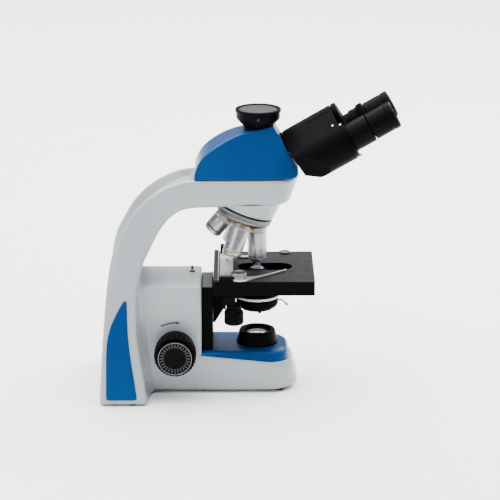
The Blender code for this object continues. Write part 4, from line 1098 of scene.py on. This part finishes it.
def binocular():
    left = prism_half("left_half", -1, (188, 219.7), (219, 262))
    hang(left, "left_prism_half", "prism_housing_left")
    right = prism_half("right_half", 1, (220.3, 252.6), (180, 220))
    hang(right, "right_prism_half", "prism_housing_right")
    pin = (
        (0, 184.2), (17, 184.2), (17, 186.7), (4, 186.7), (4, 254.2), (16.4, 254.2),
        (17.4, 255), (17.4, 259.4), (16.2, 260.6), (12.4, 260.6), (11.9, 260.1), (0, 260.1),
    )
    hang(tilted_turned("hinge_cap", pin, 0, HINGE_N, BLACK), "head", "binocular_hinge_pin")
    for side, half_name in ((-1, "left"), (1, "right")):
        body = f"{half_name}_prism_half"
        y = side * TUBE_Y
        bezel = (
            (11.9, 253), (23.4, 253), (23.4, 254.6), (22.6, 255), (22.6, 256), (23.4, 256.4),
            (23.4, 258), (22.8, 258.6), (11.9, 258.6),
        )
        piece = tilted_turned(f"{half_name}_bezel", bezel, y, TUBE_N, BLACK, segments=128)
        combine(piece, [hinge_rod(*CAP_ROOM)], "DIFFERENCE")
        smooth_again(piece)
        hang(piece, body)
    near = rect(11.9, 258, 14.8, 285.6)
    hang(tilted_turned("left_barrel", near, -TUBE_Y, TUBE_N, BLACK), "left_prism_half")
    far = (
        (11.9, 258), (16, 258), (16, 266.4), (17.4, 267), (17.4, 276.6), (19.2, 278.4),
        (19.6, 279), (19.6, 285), (18.6, 286.2), (11.9, 286.2),
    )
    grips = (60, 0.6, 278.8, 285.2, 19.2)
    piece = tilted_turned("right_barrel", far, TUBE_Y, TUBE_N, BLACK, ribs=grips)
    hang(piece, "right_prism_half")
    sleeve = ((15.1, 259), (17.6, 259), (17.6, 284.8), (16.8, 285.6), (15.1, 285.6))
    piece = tilted_turned("focus_sleeve", sleeve, -TUBE_Y, TUBE_N, PLASTIC, segments=128)
    hang(piece, "diopter_ring", "diopter_ring")
    for side, half_name in ((-1, "left"), (1, "right")):
        eyepiece(half_name, side)
    marks()


def eyepiece(name, side):
    start = 286.8
    profile = (
        (0, -20), (11.4, -20), (11.4, 0), (16.2, 0.2), (17, 1.2), (17, 22.5), (16.5, 23.1), (16.5, 24.3),
        (17.3, 25), (17.3, 31.6), (16.4, 33), (14.4, 33), (12.2, 31.2), (11.2, 28), (0, 28),
    )
    profile = raised(profile, start)
    body = f"eyepiece_{name}"
    y = side * TUBE_Y
    piece = tilted_turned(f"eyepiece_body_{name}", profile, y, TUBE_N, PLASTIC, segments=128)
    hang(piece, body, body)
    lens = raised([(0, 27.6), (11.0, 27.6), *dome(11, 28.1, 2.2), (0, 30.3)], start)
    piece = tilted_turned(f"eye_lens_{name}", lens, y, TUBE_N, PURPLE_GLASS, soft=0.05)
    hang(piece, body)


def marks():
    """White index dashes on the near prism half and the small chrome screw below its bezel."""
    lean = math.radians(60.5)
    for i, (s, y, n) in enumerate(((247.6, -33.9, 247.9), (256.2, -35.2, 244.6))):
        out = Vector((-0.5 * math.sin(lean), -math.cos(lean), math.cos(TUBE_TILT) * math.sin(lean)))
        dash = rect(0, -0.8, 1.25, 0.3)
        piece = turned(f"index_dash_{i}", dash, WHITE_BAND, tilted(s, y, n), out, 32, 0.1)
        hang(piece, "left_prism_half")
    screw = ((0, 254), (1.5, 254), (1.5, 260.4), (1.2, 260.8), (0, 260.8))
    piece = tilted_turned("bezel_screw", screw, -TUBE_Y, 197.6, STEEL, segments=32, soft=0.1)
    hang(piece, "left_prism_half")


# -------- printed arrow


def arrow():
    """The arrow printed above the near focus knobs."""
    x0, z0, radius, half = -99, 46, 46, 1.0
    outer = arc(x0, z0, radius + half, 116, 92, 14)
    inner = arc(x0, z0, radius - half, 92, 116, 14)
    tip = [polar(x0, z0, radius + 2, 92), polar(x0, z0, radius, 84), polar(x0, z0, radius - 2, 92)]
    faces = (-BODY_HALF - 0.06, -BODY_HALF + 0.3)
    bm = grid_loft([[(x, y, z) for x, z in outer + tip + inner] for y in faces])
    hang(finish("turn_arrow", bm, DARK_MARK), "stand")


# -------- room


def area_light(name, place, aim, size, power):
    light = bpy.data.lights.new(name, "AREA")
    light.shape = "RECTANGLE"
    light.size, light.size_y = size
    light.energy = power
    obj = bpy.data.objects.new(name, light)
    obj.location = place
    obj.rotation_euler = (Vector(aim) - Vector(place)).to_track_quat("-Z", "Y").to_euler()
    bpy.context.scene.collection.objects.link(obj)


def room():
    bm = bmesh.new()
    bmesh.ops.create_grid(bm, x_segments=1, y_segments=1, size=6)
    paper = enamel("floor_paper", (0.95, 0.95, 0.95), 0.8, 0.0, 300, 0.00002, 0.004)
    floor = finish("floor", bm, paper)
    floor.location = (0, 0, -0.0002)
    world = bpy.data.worlds.new("studio")
    bpy.context.scene.world = world
    world.use_nodes = True
    background = world.node_tree.nodes["Background"]
    background.inputs["Color"].default_value = (1, 1, 1, 1)
    background.inputs["Strength"].default_value = 0.45
    area_light("overhead", (0, 1.2, 2.6), (0, 1.2, 0), (5, 5), 640)
    area_light("key", (-1.2, -1.6, 1.3), (0, 0, 0.18), (1.0, 0.8), 14)
    area_light("rim", (1.3, 0.9, 0.9), (0, 0, 0.2), (0.7, 0.8), 16)

    camera = bpy.data.cameras.new("camera")
    camera.sensor_width = 36
    camera.lens = 174.2
    obj = bpy.data.objects.new("camera", camera)
    bpy.context.scene.collection.objects.link(obj)
    target = Vector((0.0001, 0, 0.172))
    elevation, azimuth, distance = math.radians(16.5), math.radians(-0.3), 3.0
    away = Vector((math.sin(azimuth) * math.cos(elevation),
                   -math.cos(azimuth) * math.cos(elevation), math.sin(elevation)))
    obj.location = target + distance * away
    obj.rotation_euler = (-away).to_track_quat("-Z", "Y").to_euler()
    bpy.context.scene.camera = obj


stand()
inlays()
feet()
lamp()
rear_fittings()
nosepiece()
focus_drive()
stage()
condenser()
head()
binocular()
arrow()
room()
